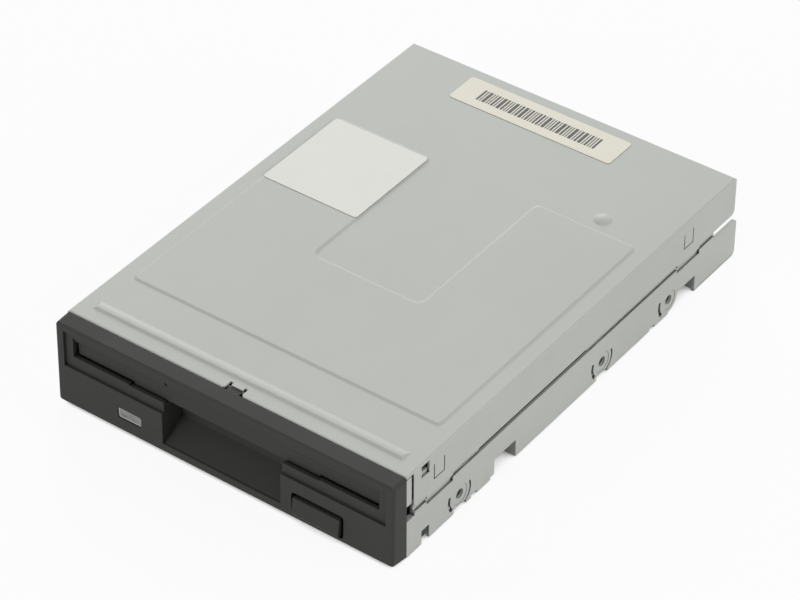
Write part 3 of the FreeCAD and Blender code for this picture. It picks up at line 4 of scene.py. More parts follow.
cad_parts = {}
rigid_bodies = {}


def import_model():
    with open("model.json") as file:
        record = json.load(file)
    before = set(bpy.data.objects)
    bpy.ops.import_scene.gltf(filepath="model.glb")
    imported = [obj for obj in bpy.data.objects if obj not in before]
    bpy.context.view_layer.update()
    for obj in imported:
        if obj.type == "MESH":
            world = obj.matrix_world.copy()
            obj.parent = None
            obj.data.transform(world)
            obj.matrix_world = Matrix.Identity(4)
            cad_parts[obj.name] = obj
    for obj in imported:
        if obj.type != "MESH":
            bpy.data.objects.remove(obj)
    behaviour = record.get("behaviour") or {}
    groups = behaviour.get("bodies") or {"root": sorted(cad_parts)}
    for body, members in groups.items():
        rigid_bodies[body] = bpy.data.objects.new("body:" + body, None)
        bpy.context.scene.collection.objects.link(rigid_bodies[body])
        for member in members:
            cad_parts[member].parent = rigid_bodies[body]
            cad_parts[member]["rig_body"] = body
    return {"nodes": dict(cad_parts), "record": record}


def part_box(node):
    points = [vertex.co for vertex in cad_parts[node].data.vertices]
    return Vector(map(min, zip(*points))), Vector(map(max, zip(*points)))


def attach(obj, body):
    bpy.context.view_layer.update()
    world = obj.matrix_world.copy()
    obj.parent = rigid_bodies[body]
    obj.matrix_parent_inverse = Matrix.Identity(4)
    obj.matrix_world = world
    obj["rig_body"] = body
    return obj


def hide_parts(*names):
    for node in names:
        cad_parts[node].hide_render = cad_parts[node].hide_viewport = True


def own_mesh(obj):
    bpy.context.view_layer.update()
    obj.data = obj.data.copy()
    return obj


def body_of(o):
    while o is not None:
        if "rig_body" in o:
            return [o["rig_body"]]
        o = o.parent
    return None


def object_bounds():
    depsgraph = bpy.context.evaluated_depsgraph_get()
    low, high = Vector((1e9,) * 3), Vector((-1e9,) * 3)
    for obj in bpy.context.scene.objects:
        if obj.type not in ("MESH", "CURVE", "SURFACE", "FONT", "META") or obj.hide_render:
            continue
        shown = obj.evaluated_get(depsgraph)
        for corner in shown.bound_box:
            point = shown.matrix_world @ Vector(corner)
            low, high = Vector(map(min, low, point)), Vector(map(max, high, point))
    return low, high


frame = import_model()
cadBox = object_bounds()
nodes = frame["nodes"]
mm = 0.001
weld, cadWeld = 1e-7, 1e-6
back, front, right, left = Vector((0, 1, 0)), Vector((0, -1, 0)), Vector((1, 0, 0)), Vector((-1, 0, 0))
up, down = Vector((0, 0, 1)), Vector((0, 0, -1))
print("frame loaded:", len(nodes), "nodes")


def nodeBody(node):
    return body_of(nodes[node])[0]


def nodeSlot(node):
    return next(row["material_slot"] for row in frame["record"]["subparts"] if row["node"] == node)


def link(tree, value, socket):
    # a number or colour is set, another socket is wired
    if isinstance(value, bpy.types.NodeSocket):
        tree.links.new(value, socket)
    else:
        socket.default_value = value


def calculate(tree, operation, first, second):
    node = tree.nodes.new("ShaderNodeMath")
    node.operation = operation
    link(tree, first, node.inputs[0])
    link(tree, second, node.inputs[1])
    return node.outputs[0]


def calculateVector(tree, operation, first, second):
    node = tree.nodes.new("ShaderNodeVectorMath")
    node.operation = operation
    link(tree, first, node.inputs[0])
    link(tree, second, node.inputs[1])
    return node.outputs


def spread(tree, value, low, high, newLow=0.0, newHigh=1.0):
    node = tree.nodes.new("ShaderNodeMapRange")
    link(tree, value, node.inputs["Value"])
    link(tree, low, node.inputs["From Min"])
    link(tree, high, node.inputs["From Max"])
    link(tree, newLow, node.inputs["To Min"])
    link(tree, newHigh, node.inputs["To Max"])
    return node.outputs["Result"]


def noise(tree, place, scale, detail, roughness):
    node = tree.nodes.new("ShaderNodeTexNoise")
    link(tree, place, node.inputs["Vector"])
    link(tree, scale, node.inputs["Scale"])
    link(tree, detail, node.inputs["Detail"])
    link(tree, roughness, node.inputs["Roughness"])
    return node.outputs["Fac"]


def openness(tree, reach, samples):
    node = tree.nodes.new("ShaderNodeAmbientOcclusion")
    node.samples = samples
    link(tree, reach, node.inputs["Distance"])
    return node.outputs["AO"]


def objectPlace(tree):
    return tree.nodes.new("ShaderNodeTexCoord").outputs["Object"]


def blendColours(tree, mask, first, second):
    node = tree.nodes.new("ShaderNodeMix")
    node.data_type = "RGBA"
    link(tree, mask, node.inputs["Factor"])
    link(tree, first, node.inputs["A"])
    link(tree, second, node.inputs["B"])
    return node.outputs["Result"]


def startGroup(name, inputs, outputs):
    group = bpy.data.node_groups.new(name, "ShaderNodeTree")
    for label, kind, value in inputs:
        socket = group.interface.new_socket(label, in_out="INPUT", socket_type=kind)
        socket.default_value = value
    for label, kind in outputs:
        group.interface.new_socket(label, in_out="OUTPUT", socket_type=kind)
    return group, group.nodes.new("NodeGroupInput").outputs, group.nodes.new("NodeGroupOutput").inputs


wearMask = {"samples": 4, "flat": 0.995, "sharp": 0.85, "detail": 4.0, "roughness": 0.6,
            "bare": 0.4, "full": 0.62, "least": 0.2}


def makeEdgeWear():
    # mask that is 1 on rubbed edges, broken up by noise, and the softened normal
    group, given, result = startGroup(
        "edge wear",
        [
            ("Width", "NodeSocketFloat", 0.0003),
            ("Amount", "NodeSocketFloat", 0.5),
            ("Patch Scale", "NodeSocketFloat", 300.0),
        ],
        [("Mask", "NodeSocketFloat"), ("Normal", "NodeSocketVector")],
    )
    bevel = group.nodes.new("ShaderNodeBevel")
    bevel.samples = wearMask["samples"]
    link(group, given["Width"], bevel.inputs["Radius"])
    surface = group.nodes.new("ShaderNodeNewGeometry").outputs["Normal"]
    turn = calculateVector(group, "DOT_PRODUCT", bevel.outputs["Normal"], surface)["Value"]
    edge = spread(group, turn, wearMask["flat"], wearMask["sharp"])
    patches = noise(
        group, objectPlace(group), given["Patch Scale"], wearMask["detail"], wearMask["roughness"]
    )
    patch = spread(group, patches, wearMask["bare"], wearMask["full"], wearMask["least"])
    rubbed = calculate(group, "MULTIPLY", calculate(group, "MULTIPLY", edge, patch), given["Amount"])
    link(group, rubbed, result["Mask"])
    link(group, bevel.outputs["Normal"], result["Normal"])
    return group


grainNoise = {"fineDetail": 3.0, "fineRoughness": 0.6, "slowDetail": 4.0, "slowRoughness": 0.55,
              "speckFrom": 0.62, "speckFull": 0.72}


def makeGrain():
    # fine surface height, a slow tone for colour and gloss, and specks
    group, given, result = startGroup(
        "grain",
        [
            ("Fine Scale", "NodeSocketFloat", 4000.0),
            ("Slow Scale", "NodeSocketFloat", 60.0),
            ("Stretch", "NodeSocketVector", (1.0, 1.0, 1.0)),
        ],
        [("Height", "NodeSocketFloat"), ("Tone", "NodeSocketFloat"), ("Speck", "NodeSocketFloat")],
    )
    place = calculateVector(group, "MULTIPLY", objectPlace(group), given["Stretch"])["Vector"]
    fine = noise(group, place, given["Fine Scale"], grainNoise["fineDetail"], grainNoise["fineRoughness"])
    slow = noise(group, place, given["Slow Scale"], grainNoise["slowDetail"], grainNoise["slowRoughness"])
    link(group, fine, result["Height"])
    link(group, slow, result["Tone"])
    link(group, spread(group, fine, grainNoise["speckFrom"], grainNoise["speckFull"]), result["Speck"])
    return group


# painted shade: for each reach, the open shares that count as closed and as clear
paintedShadeRanges = {"samples": 6, "Gap Reach": (0.35, 0.65), "Deep Reach": (0.06, 0.3)}


def makePaintedCreviceShade():
    # mask for painted shade: 1 where the surface lies open, falling to 0 in narrow gaps and deep inside,
    # where the colour is darkened to paint shade
    group, given, result = startGroup(
        "crevice shade",
        [("Gap Reach", "NodeSocketFloat", 0.002), ("Deep Reach", "NodeSocketFloat", 0.015)],
        [("Open", "NodeSocketFloat")],
    )
    shares = [
        spread(group, openness(group, given[reach], paintedShadeRanges["samples"]), *paintedShadeRanges[reach])
        for reach in ("Gap Reach", "Deep Reach")
    ]
    link(group, calculate(group, "MULTIPLY", *shares), result["Open"])
    return group


edgeWear = makeEdgeWear()
grain = makeGrain()
paintedCreviceShade = makePaintedCreviceShade()
print("shader groups built")

# what a surface has where its own look doesn't say otherwise, with lengths in m and scales per m
plainLook = {"edge": 0.0002, "wear": 0.4, "fine": 4000.0, "slow": 60.0, "stretch": (1.0, 1.0, 1.0),
             "toneRange": (0.35, 0.65), "speck": 0.15, "gapReach": 0.002, "nookPaintedShade": 0.03, "metal": 0.0,
             "roughRange": (0.3, 0.7), "roughSpread": 0.05, "bump": 0.1, "bumpDepth": 0.00002, "more": {}}


def addGroup(tree, group, **values):
    node = tree.nodes.new("ShaderNodeGroup")
    node.node_tree = group
    for name, value in values.items():
        link(tree, value, node.inputs[name.replace("_", " ")])
    return node.outputs


def finish(name, given):
    # one surface finish: colour with slow tone, specks, rubbed edges, painted shade in nooks and gaps,
    # grain bump
    look = {**plainLook, **given}
    plain, tone, worn = ((*look[key], 1) for key in ("colour", "tone", "worn"))
    material = bpy.data.materials.new(name)
    material.use_nodes = True
    tree = material.node_tree
    shader = tree.nodes["Principled BSDF"]
    edge = addGroup(tree, edgeWear, Width=look["edge"], Amount=look["wear"])
    fine = addGroup(tree, grain, Fine_Scale=look["fine"], Slow_Scale=look["slow"], Stretch=look["stretch"])
    nookPaintedShade = addGroup(tree, paintedCreviceShade, Gap_Reach=look["gapReach"])
    colour = blendColours(tree, spread(tree, fine["Tone"], *look["toneRange"]), plain, tone)
    speck = calculate(tree, "MULTIPLY", fine["Speck"], look["speck"])
    colour = blendColours(tree, speck, colour, (*look.get("speckColour", look["tone"]), 1))
    colour = blendColours(tree, edge["Mask"], colour, worn)
    # painted shade: in gaps and deep inside, the colour falls to a small share of itself
    shade = tuple(c * look["nookPaintedShade"] for c in look["colour"])
    link(tree, blendColours(tree, nookPaintedShade["Open"], (*shade, 1), colour), shader.inputs["Base Color"])
    smoothest, roughest = look["rough"] - look["roughSpread"], look["rough"] + look["roughSpread"]
    rough = spread(tree, fine["Tone"], *look["roughRange"], smoothest, roughest)
    link(tree, rough, shader.inputs["Roughness"])
    bump = tree.nodes.new("ShaderNodeBump")
    link(tree, look["bump"], bump.inputs["Strength"])
    link(tree, look["bumpDepth"], bump.inputs["Distance"])
    link(tree, fine["Height"], bump.inputs["Height"])
    link(tree, edge["Normal"], bump.inputs["Normal"])
    link(tree, bump.outputs["Normal"], shader.inputs["Normal"])
    link(tree, look["metal"], shader.inputs["Metallic"])
    for socket, value in look["more"].items():
        link(tree, value, shader.inputs[socket])
    return material


looks = {
    "zincSheet": {
        "colour": (0.488, 0.503, 0.472), "tone": (0.515, 0.53, 0.498), "worn": (0.66, 0.68, 0.65),
        "rough": 0.62, "metal": 0.1, "fine": 2600.0, "slow": 30.0, "speck": 0.3,
        "speckColour": (0.38, 0.395, 0.365), "bump": 0.14, "wear": 0.5, "edge": 0.00025,
        "roughSpread": 0.015, "more": {"Specular IOR Level": 0.35},
    },
    "bezelPlastic": {
        "colour": (0.037, 0.037, 0.035), "tone": (0.043, 0.043, 0.041), "worn": (0.09, 0.09, 0.085),
        "rough": 0.72, "fine": 5200.0, "slow": 45.0, "speck": 0.2, "speckColour": (0.075, 0.075, 0.07),
        "bump": 0.25, "wear": 0.35, "edge": 0.0003, "more": {"Specular IOR Level": 0.3},
    },
    "greyLens": {
        "colour": (0.215, 0.217, 0.213), "tone": (0.38, 0.385, 0.375), "worn": (0.5, 0.5, 0.49),
        "rough": 0.3, "fine": 3000.0, "slow": 380.0, "speck": 0.0, "bump": 0.05, "wear": 0.2,
        "more": {"Transmission Weight": 0.2},
    },
    "lensRim": {
        "colour": (0.54, 0.545, 0.54), "tone": (0.6, 0.605, 0.6), "worn": (0.6, 0.6, 0.59),
        "rough": 0.35, "fine": 3000.0, "bump": 0.05, "more": {"Transmission Weight": 0.2},
    },
    # painted shadow: a dark ring that stands in for the shade in the gap round the lens
    "lensGapShadow": {
        "colour": (0.012, 0.012, 0.012), "tone": (0.016, 0.016, 0.016), "worn": (0.02, 0.02, 0.02),
        "rough": 0.6,
    },
    "whiteLabel": {
        "colour": (0.82, 0.82, 0.77), "tone": (0.85, 0.85, 0.80), "worn": (0.6, 0.6, 0.55),
        "rough": 0.62, "fine": 3500.0, "slow": 70.0, "bump": 0.1, "speck": 0.1, "roughSpread": 0.02,
    },
    "creamLabel": {
        "colour": (0.83, 0.80, 0.68), "tone": (0.86, 0.83, 0.72), "worn": (0.6, 0.58, 0.48),
        "rough": 0.62, "fine": 3500.0, "slow": 70.0, "bump": 0.1, "speck": 0.1, "roughSpread": 0.02,
    },
    "printInk": {
        "colour": (0.02, 0.02, 0.02), "tone": (0.03, 0.03, 0.03), "worn": (0.1, 0.1, 0.1),
        "rough": 0.55,
    },
    "springWire": {
        "colour": (0.42, 0.42, 0.41), "tone": (0.50, 0.50, 0.49), "worn": (0.7, 0.7, 0.7), "rough": 0.3,
        "metal": 0.9, "fine": 6000.0,
    },
    "platedSteel": {
        "colour": (0.52, 0.52, 0.50), "tone": (0.58, 0.58, 0.55), "worn": (0.75, 0.75, 0.73),
        "rough": 0.36, "metal": 0.7, "fine": 2400.0, "slow": 40.0, "stretch": (1.0, 0.15, 1.0),
        # a longer reach of painted shade darkens these inner parts between and behind other pieces
        "bump": 0.12, "gapReach": 0.006,
    },
    "turnedSteel": {
        "colour": (0.55, 0.55, 0.55), "tone": (0.62, 0.62, 0.62), "worn": (0.8, 0.8, 0.8),
        "rough": 0.22, "metal": 0.95, "fine": 3000.0, "stretch": (1.0, 0.1, 1.0),
    },
    "solderMask": {
        "colour": (0.018, 0.10, 0.038), "tone": (0.023, 0.125, 0.05), "worn": (0.2, 0.3, 0.16),
        "rough": 0.3, "fine": 1500.0, "slow": 120.0, "bump": 0.1, "more": {"Coat Weight": 0.3},
    },
    "maskedTrace": {
        "colour": (0.05, 0.24, 0.10), "tone": (0.06, 0.28, 0.12), "worn": (0.2, 0.3, 0.16),
        "rough": 0.28, "fine": 1500.0, "bump": 0.05, "more": {"Coat Weight": 0.3},
    },
    "chipBlack": {
        "colour": (0.022, 0.022, 0.023), "tone": (0.03, 0.03, 0.031), "worn": (0.1, 0.1, 0.1),
        "rough": 0.5, "fine": 5000.0, "bump": 0.3,
    },
    "connectorBlack": {
        "colour": (0.025, 0.025, 0.026), "tone": (0.032, 0.032, 0.033), "worn": (0.1, 0.1, 0.1),
        "rough": 0.45, "fine": 5000.0, "bump": 0.2,
    },
    "contactBrass": {
        "colour": (0.66, 0.48, 0.20), "tone": (0.72, 0.55, 0.26), "worn": (0.85, 0.75, 0.5),
        "rough": 0.25, "metal": 1.0,
    },
    "copperWire": {
        "colour": (0.50, 0.17, 0.07), "tone": (0.60, 0.24, 0.10), "worn": (0.8, 0.5, 0.3), "rough": 0.3,
        "metal": 0.9,
    },
    "bronze": {
        "colour": (0.42, 0.28, 0.11), "tone": (0.50, 0.34, 0.15), "worn": (0.7, 0.55, 0.3),
        "rough": 0.4, "metal": 0.9,
    },
    "ferrite": {
        "colour": (0.045, 0.045, 0.047), "tone": (0.06, 0.06, 0.062), "worn": (0.15, 0.15, 0.15),
        "rough": 0.55, "bump": 0.3,
    },
    "castAlloy": {
        "colour": (0.42, 0.43, 0.44), "tone": (0.48, 0.49, 0.50), "worn": (0.7, 0.7, 0.7),
        "rough": 0.48, "metal": 0.6, "fine": 1500.0, "bump": 0.3,
    },
    "headCeramic": {
        "colour": (0.06, 0.055, 0.05), "tone": (0.08, 0.075, 0.07), "worn": (0.2, 0.2, 0.2),
        "rough": 0.2,
    },
    "drawnCan": {
        "colour": (0.55, 0.55, 0.56), "tone": (0.60, 0.60, 0.61), "worn": (0.8, 0.8, 0.8),
        "rough": 0.28, "metal": 0.8,
    },
    "lampResin": {
        "colour": (0.12, 0.30, 0.08), "tone": (0.15, 0.36, 0.10), "worn": (0.3, 0.5, 0.25),
        "rough": 0.15, "more": {"Transmission Weight": 0.4},
    },
    "switchPlastic": {
        "colour": (0.07, 0.07, 0.07), "tone": (0.085, 0.085, 0.085), "worn": (0.2, 0.2, 0.2),
        "rough": 0.45, "bump": 0.2,
    },
    "tinnedLeg": {
        "colour": (0.55, 0.55, 0.53), "tone": (0.62, 0.62, 0.60), "worn": (0.75, 0.75, 0.73),
        "rough": 0.3, "metal": 0.8,
    },
    "plungerPlastic": {
        "colour": (0.66, 0.64, 0.56), "tone": (0.70, 0.68, 0.60), "worn": (0.8, 0.8, 0.75),
        "rough": 0.4,
    },
}
finishes = {name: finish(name, look) for name, look in looks.items()}
finishOfSlot = {
    "galvanised_steel": "zincSheet", "bezel_plastic": "bezelPlastic", "smoked_lens": "greyLens",
    "white_label": "whiteLabel", "cream_label": "creamLabel", "spring_steel": "springWire",
    "plated_steel": "platedSteel", "turned_steel": "turnedSteel", "board_green": "solderMask",
    "chip_black": "chipBlack", "connector_black": "connectorBlack", "contact_brass": "contactBrass",
    "copper_winding": "copperWire", "bearing_bronze": "bronze", "ferrite": "ferrite",
    "cast_alloy": "castAlloy", "head_ceramic": "headCeramic", "capacitor_can": "drawnCan",
    "lamp_resin": "lampResin", "switch_plastic": "switchPlastic", "plunger_plastic": "plungerPlastic",
}
for row in frame["record"]["subparts"]:
    cad = nodes[row["node"]]
    cad.data.materials.clear()
    cad.data.materials.append(finishes[finishOfSlot[row["material_slot"]]])
print("finishes set on the CAD nodes")


def newPiece(name, bm, body, slot, replaced=(), smooth=40, look=None):
    # closes the bmesh into an object that rides on a body, with its slot's finish or another look
    bmesh.ops.remove_doubles(bm, verts=bm.verts, dist=weld)
    bmesh.ops.recalc_face_normals(bm, faces=bm.faces)
    mesh = bpy.data.meshes.new(name)
    bm.to_mesh(mesh)
    bm.free()
    mesh.shade_smooth()
    mesh.set_sharp_from_angle(angle=math.radians(smooth))
    mesh.materials.append(finishes[look or finishOfSlot[slot]])
    piece = bpy.data.objects.new(name, mesh)
    bpy.context.scene.collection.objects.link(piece)
    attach(piece, body)
    if replaced:
        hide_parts(*replaced)
    return piece


def joinInto(bm, single):
    spare = bpy.data.meshes.new("spare")
    single.to_mesh(spare)
    single.free()
    bm.from_mesh(spare)
    bpy.data.meshes.remove(spare)


def midBox(node):
    low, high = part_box(node)
    return (low + high) / 2, high - low


def islands(node):
    # lowest and highest corner of each separate solid of a CAD node
    bm = bmesh.new()
    bm.from_mesh(nodes[node].data)
    bmesh.ops.remove_doubles(bm, verts=bm.verts, dist=cadWeld)
    waiting = set(bm.verts)
    found = []
    while waiting:
        group = [waiting.pop()]
        for vert in group:
            for edge in vert.link_edges:
                other = edge.other_vert(vert)
                if other in waiting:
                    waiting.discard(other)
                    group.append(other)
        spots = [v.co for v in group]
        low = Vector([min(s[k] for s in spots) for k in range(3)])
        high = Vector([max(s[k] for s in spots) for k in range(3)])
        found.append((low, high))
    bm.free()
    return found


def vertsOf(geometry):
    return [g for g in geometry if isinstance(g, bmesh.types.BMVert)]


def edgesOf(geometry):
    return [g for g in geometry if isinstance(g, bmesh.types.BMEdge)]


def extrudeFace(bm, face):
    made = bmesh.ops.extrude_face_region(bm, geom=[face])
    return next(g for g in made["geom"] if isinstance(g, bmesh.types.BMFace))


def thicken(bm, height):
    made = bmesh.ops.extrude_face_region(bm, geom=bm.faces[:])
    bmesh.ops.translate(bm, verts=vertsOf(made["geom"]), vec=(0, 0, height))


def facing(start, axis):
    # turns z to the axis and moves to start
    return Matrix.Translation(start) @ axis.to_track_quat("Z", "X").to_matrix().to_4x4()


def roundBar(bm, profile, steps, start, axis):
    # spins (radius, along) points in mm round an axis through start
    verts = [bm.verts.new((r * mm, 0, a * mm)) for r, a in profile]
    edges = [bm.edges.new(pair) for pair in zip(verts, verts[1:])]
    bmesh.ops.spin(
        bm, geom=verts + edges, cent=(0, 0, 0), axis=up, angle=2 * math.pi, steps=steps, use_merge=True
    )
    bmesh.ops.transform(bm, matrix=facing(start, axis), verts=bm.verts)


stepsPerTurn = 22


def wind(bm, ring, stages):
    # a screw of the ring of edges round z, in stages of (turns, pitch in mm);
    # gives the last ring and its angle
    angle = 0
    for turns, pitch in stages:
        steps = max(2, round(turns * stepsPerTurn))
        made = bmesh.ops.spin(
            bm, geom=ring, cent=(0, 0, 0), axis=up, dvec=(0, 0, pitch * mm * turns / steps),
            angle=2 * math.pi * turns, steps=steps, use_merge=False
        )
        ring = edgesOf(made["geom_last"])
        angle += 2 * math.pi * turns
    return ring, angle


def addWireLeg(bm, ring, direction, length):
    made = bmesh.ops.extrude_edge_only(bm, edges=ring)
    bmesh.ops.translate(bm, verts=vertsOf(made["geom"]), vec=Vector(direction) * length * mm)


wireSides = 10


def makeSpring(node, axis, spring):
    # a wound wire with close end turns and two straight legs, as long as its CAD node along the axis
    middle, size = midBox(node)
    length = size.dot(axis) / mm
    wire, radius = spring["wire"], spring["radius"]
    active = length - 2 * wire - 2 * spring["endTurns"] * spring["endPitch"]
    bm = bmesh.new()
    made = bmesh.ops.create_circle(bm, cap_ends=False, segments=wireSides, radius=wire * mm)
    bmesh.ops.rotate(
        bm, verts=made["verts"], cent=(0, 0, 0), matrix=Matrix.Rotation(math.pi / 2, 3, "X")
    )
    bmesh.ops.translate(bm, verts=made["verts"], vec=(radius * mm, 0, (wire - length / 2) * mm))
    first = bm.edges[:]
    closed = (spring["endTurns"], spring["endPitch"])
    last, angle = wind(bm, first, [closed, (spring["turns"], active / spring["turns"]), closed])
    addWireLeg(bm, first, front, spring["leg"])
    addWireLeg(bm, last, (-math.sin(angle), math.cos(angle), 0), spring["leg"])
    bmesh.ops.holes_fill(bm, edges=[e for e in bm.edges if e.is_boundary], sides=0)
    bmesh.ops.transform(bm, matrix=facing(middle, axis), verts=bm.verts)
    return newPiece(node + "_wound", bm, nodeBody(node), "spring_steel", [node])


ejectSpring = {"wire": 0.21, "radius": 1.0, "turns": 12.5, "endTurns": 1.5, "endPitch": 0.46, "leg": 0.6,
               "squeezed": 0.76}
for node in ("eject_spring_right", "eject_spring_left"):
    piece = makeSpring(node, back, ejectSpring)
    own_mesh(piece)
flapSpring = {"wire": 0.2, "radius": 1.25, "turns": 4.25, "endTurns": 1, "endPitch": 0.43, "leg": 0.9}
makeSpring("flap_spring", right, flapSpring)
latchSpring = {"wire": 0.2, "radius": 2.1, "turns": 2, "endTurns": 0.75, "endPitch": 0.43, "leg": 1.2}
makeSpring("latch_spring", up, latchSpring)
print("springs wound")


def threadRing(bm, ridge, turns, pitch, place):
    # a helical ridge whose section is three (radius, along) points in mm
    verts = [bm.verts.new((r * mm, 0, a * mm)) for r, a in ridge]
    ring = [bm.edges.new((verts[k], verts[(k + 1) % 3])) for k in range(3)]
    wind(bm, ring, [(turns, pitch)])
    ends = [e for e in bm.edges if e.is_boundary and any(v in e.verts for v in verts)]
    bmesh.ops.holes_fill(bm, edges=ends, sides=0)
    bmesh.ops.transform(bm, matrix=place, verts=bm.verts)


holeThread = {"pitch": 0.5, "turns": 3.5, "root": 1.44, "crest": 1.2, "half": 0.2}


def makeHoleThreads():
    # a ridge of thread inside each mounting hole in the side walls
    threads = bmesh.new()
    root, half = holeThread["root"], holeThread["half"]
    turns, pitch = holeThread["turns"], holeThread["pitch"]
    for mount in frame["record"]["mounts"]:
        if mount["name"].startswith("side_hole"):
            single = bmesh.new()
            axis = Vector(mount["axis"])
            start = Vector(mount["pos_m"]) - axis * turns * pitch / 2 * mm
            ridge = [(root, -half), (holeThread["crest"], 0), (root, half)]
            threadRing(single, ridge, turns, pitch, facing(start, axis))
            joinInto(threads, single)
    newPiece("side_hole_threads", threads, "frame", "galvanised_steel", smooth=25)


makeHoleThreads()

screwThread = {"lead": 2.98, "depth": 0.35, "half": 0.42, "tip": 0.5, "sunk": 0.1, "bareEnd": 0.75,
               "sides": 32}


def makeLeadScrew():
    middle, size = midBox("lead_screw")
    radius, half = size.x / 2 / mm, size.y / 2 / mm
    core, tip = radius - screwThread["depth"], screwThread["tip"]
    profile = [(0, -half), (core - tip / 2, -half), (core, tip - half)]
    bm = bmesh.new()
    mirrored = [(across, -along) for across, along in reversed(profile)]
    roundBar(bm, profile + mirrored, screwThread["sides"], middle, back)
    bmesh.ops.remove_doubles(bm, verts=bm.verts, dist=weld)
    ridge = bmesh.new()
    root, threaded = core - screwThread["sunk"], half - screwThread["bareEnd"]
    section = [(root, -screwThread["half"]), (radius, 0), (root, screwThread["half"])]
    turns = 2 * threaded / screwThread["lead"]
    threadRing(ridge, section, turns, screwThread["lead"], facing(middle + front * threaded * mm, back))
    joinInto(bm, ridge)
    newPiece(
        "lead_screw_threaded", bm, nodeBody("lead_screw"), "turned_steel", ["lead_screw"], smooth=35
    )


makeLeadScrew()
print("threads cut")


def addLeg(bm, start, out, foot, leg):
    # one gull-wing leg: out of the package, down or up to the board, and out again
    side = Vector((-out.y, out.x, 0)) * leg["width"] / 2 * mm
    thick = up * leg["thick"] * mm
    corners = (start + side, start - side, start - side + thick, start + side + thick)
    face = bm.faces.new([bm.verts.new(corner) for corner in corners])
    shoulder = out * leg["shoulder"] * mm
    for step in (shoulder, shoulder / 2 + up * (foot - start.z), out * leg["toe"] * mm):
        face = extrudeFace(bm, face)
        bmesh.ops.translate(bm, verts=face.verts[:], vec=step)


def legRow(low, high, out, leg):
    # where the legs of one side leave their chip
    along, across = Vector((abs(out.y), abs(out.x), 0)), Vector((abs(out.x), abs(out.y), 0))
    count = int(((high - low).dot(along) / mm - leg["margin"]) / leg["pitch"]) + 1
    start = (low + high) / 2 + out * (high - low).dot(across) / 2
    return [start + along * (n - (count - 1) / 2) * leg["pitch"] * mm for n in range(count)]


def makeLegs(name, node, sides, leg):
    # the boards hang under the deck, so every foot is at its chip's top face
    bm = bmesh.new()
    for low, high in islands(node):
        foot = high.z - leg["thick"] * mm
        for out in sides:
            for start in legRow(low, high, out, leg):
                addLeg(bm, start, out, foot, leg)
    newPiece(name, bm, "frame", "contact_brass", look="tinnedLeg")


controlLeg = {"width": 0.32, "thick": 0.14, "shoulder": 0.35, "toe": 0.5, "pitch": 0.8, "margin": 1.6}
makeLegs("control_chip_legs", "control_chip", (back, front, right, left), controlLeg)
smallLeg = {"width": 0.42, "thick": 0.16, "shoulder": 0.35, "toe": 0.5, "pitch": 1.27, "margin": 1.2}
makeLegs("small_chip_legs", "small_chips", (back, front), smallLeg)
motorLeg = {"width": 0.28, "thick": 0.14, "shoulder": 0.3, "toe": 0.45, "pitch": 0.65, "margin": 1.4}
makeLegs("motor_chip_legs", "motor_chip", (back, front, right, left), motorLeg)

solderJoint = {"foot": 0.5, "rim": 0.1, "waist": 0.32, "tip": 0.2, "stand": 0.7, "sides": 8}
trace = {"width": 0.28, "thick": 0.03, "corner": 2.0, "fan": 4.0, "short": 0.9, "step": 0.8, "lengths": 3,
         "groundWidth": 1.1, "groundBack": 1.5, "groundOver": 1.0}
via = {"hole": 0.13, "rim": 0.3, "stand": 0.04, "floor": 0.01, "sides": 8}


def addSolder(bm, spot, level):
    foot, rim, waist, tip, stand, sides = solderJoint.values()
    profile = [(0, 0), (foot, 0), (foot, rim), (waist, stand / 2), (tip, stand), (0, stand)]
    single = bmesh.new()
    roundBar(single, profile, sides, Vector((spot.x * mm, spot.y * mm, level)), down)
    joinInto(bm, single)


def addVia(bm, spot, level):
    hole, rim, stand, floor, sides = via.values()
    profile = [(0, floor), (hole, floor), (hole, stand), (rim, stand), (rim, 0), (0, 0)]
    single = bmesh.new()
    roundBar(single, profile, sides, Vector((spot.x * mm, spot.y * mm, level)), down)
    joinInto(bm, single)


def addStrip(bm, spots, width, level):
    # a flat strip of copper through the spots, given in mm
    ahead = (spots[1] - spots[0]).normalized()
    across = Vector((-ahead.y, ahead.x)) * width / 2
    ends = [((spots[0] + side * across) * mm).to_3d() + up * level for side in (1, -1)]
    edge = bm.edges.new([bm.verts.new(end) for end in ends])
    for last, spot in zip(spots, spots[1:]):
        made = bmesh.ops.extrude_edge_only(bm, edges=[edge])
        verts = vertsOf(made["geom"])
        bmesh.ops.translate(bm, verts=verts, vec=((spot - last) * mm).to_3d())
        edge = bm.edges.get(verts)


def turnRoute(start, end, corner=trace["corner"]):
    # along x, across the corner, then along y
    sideways, onwards = math.copysign(corner, end.x - start.x), math.copysign(corner, end.y - start.y)
    return [start, Vector((end.x - sideways, start.y)), Vector((end.x, start.y + onwards)), end]


def fanRoute(start, end, lead):
    # along y, over to the other x at half a right angle, and along y again
    rise, over = (math.copysign(size, end.y - start.y) for size in (lead, end.x - start.x))
    return [start, start + Vector((0, rise)), Vector((end.x, start.y + rise + over)), end]


def routeAll(route, starts, ends, *more):
    return [route(start, end, *more) for start, end in zip(starts, ends)]


def stubs(starts, out):
    # short runs of a few lengths, each to its own via
    lengths = [trace["short"] + n * trace["step"] for n in range(trace["lengths"])]
    return [[start, start + out.xy * lengths[n % len(lengths)]] for n, start in enumerate(starts)]


def toes(chip, out, leg):
    return [(start + out * leg["toe"] * mm).xy / mm for start in legRow(*chip, out, leg)]


def pinSpots(node):
    # the middles of the square pins in mm, row by row
    spots = [
        Vector(((low.x + high.x) / 2, low.y + (high.x - low.x) / 2)) / mm for low, high in islands(node)
    ]
    return sorted(spots, key=lambda s: (round(s.y, 2), s.x))


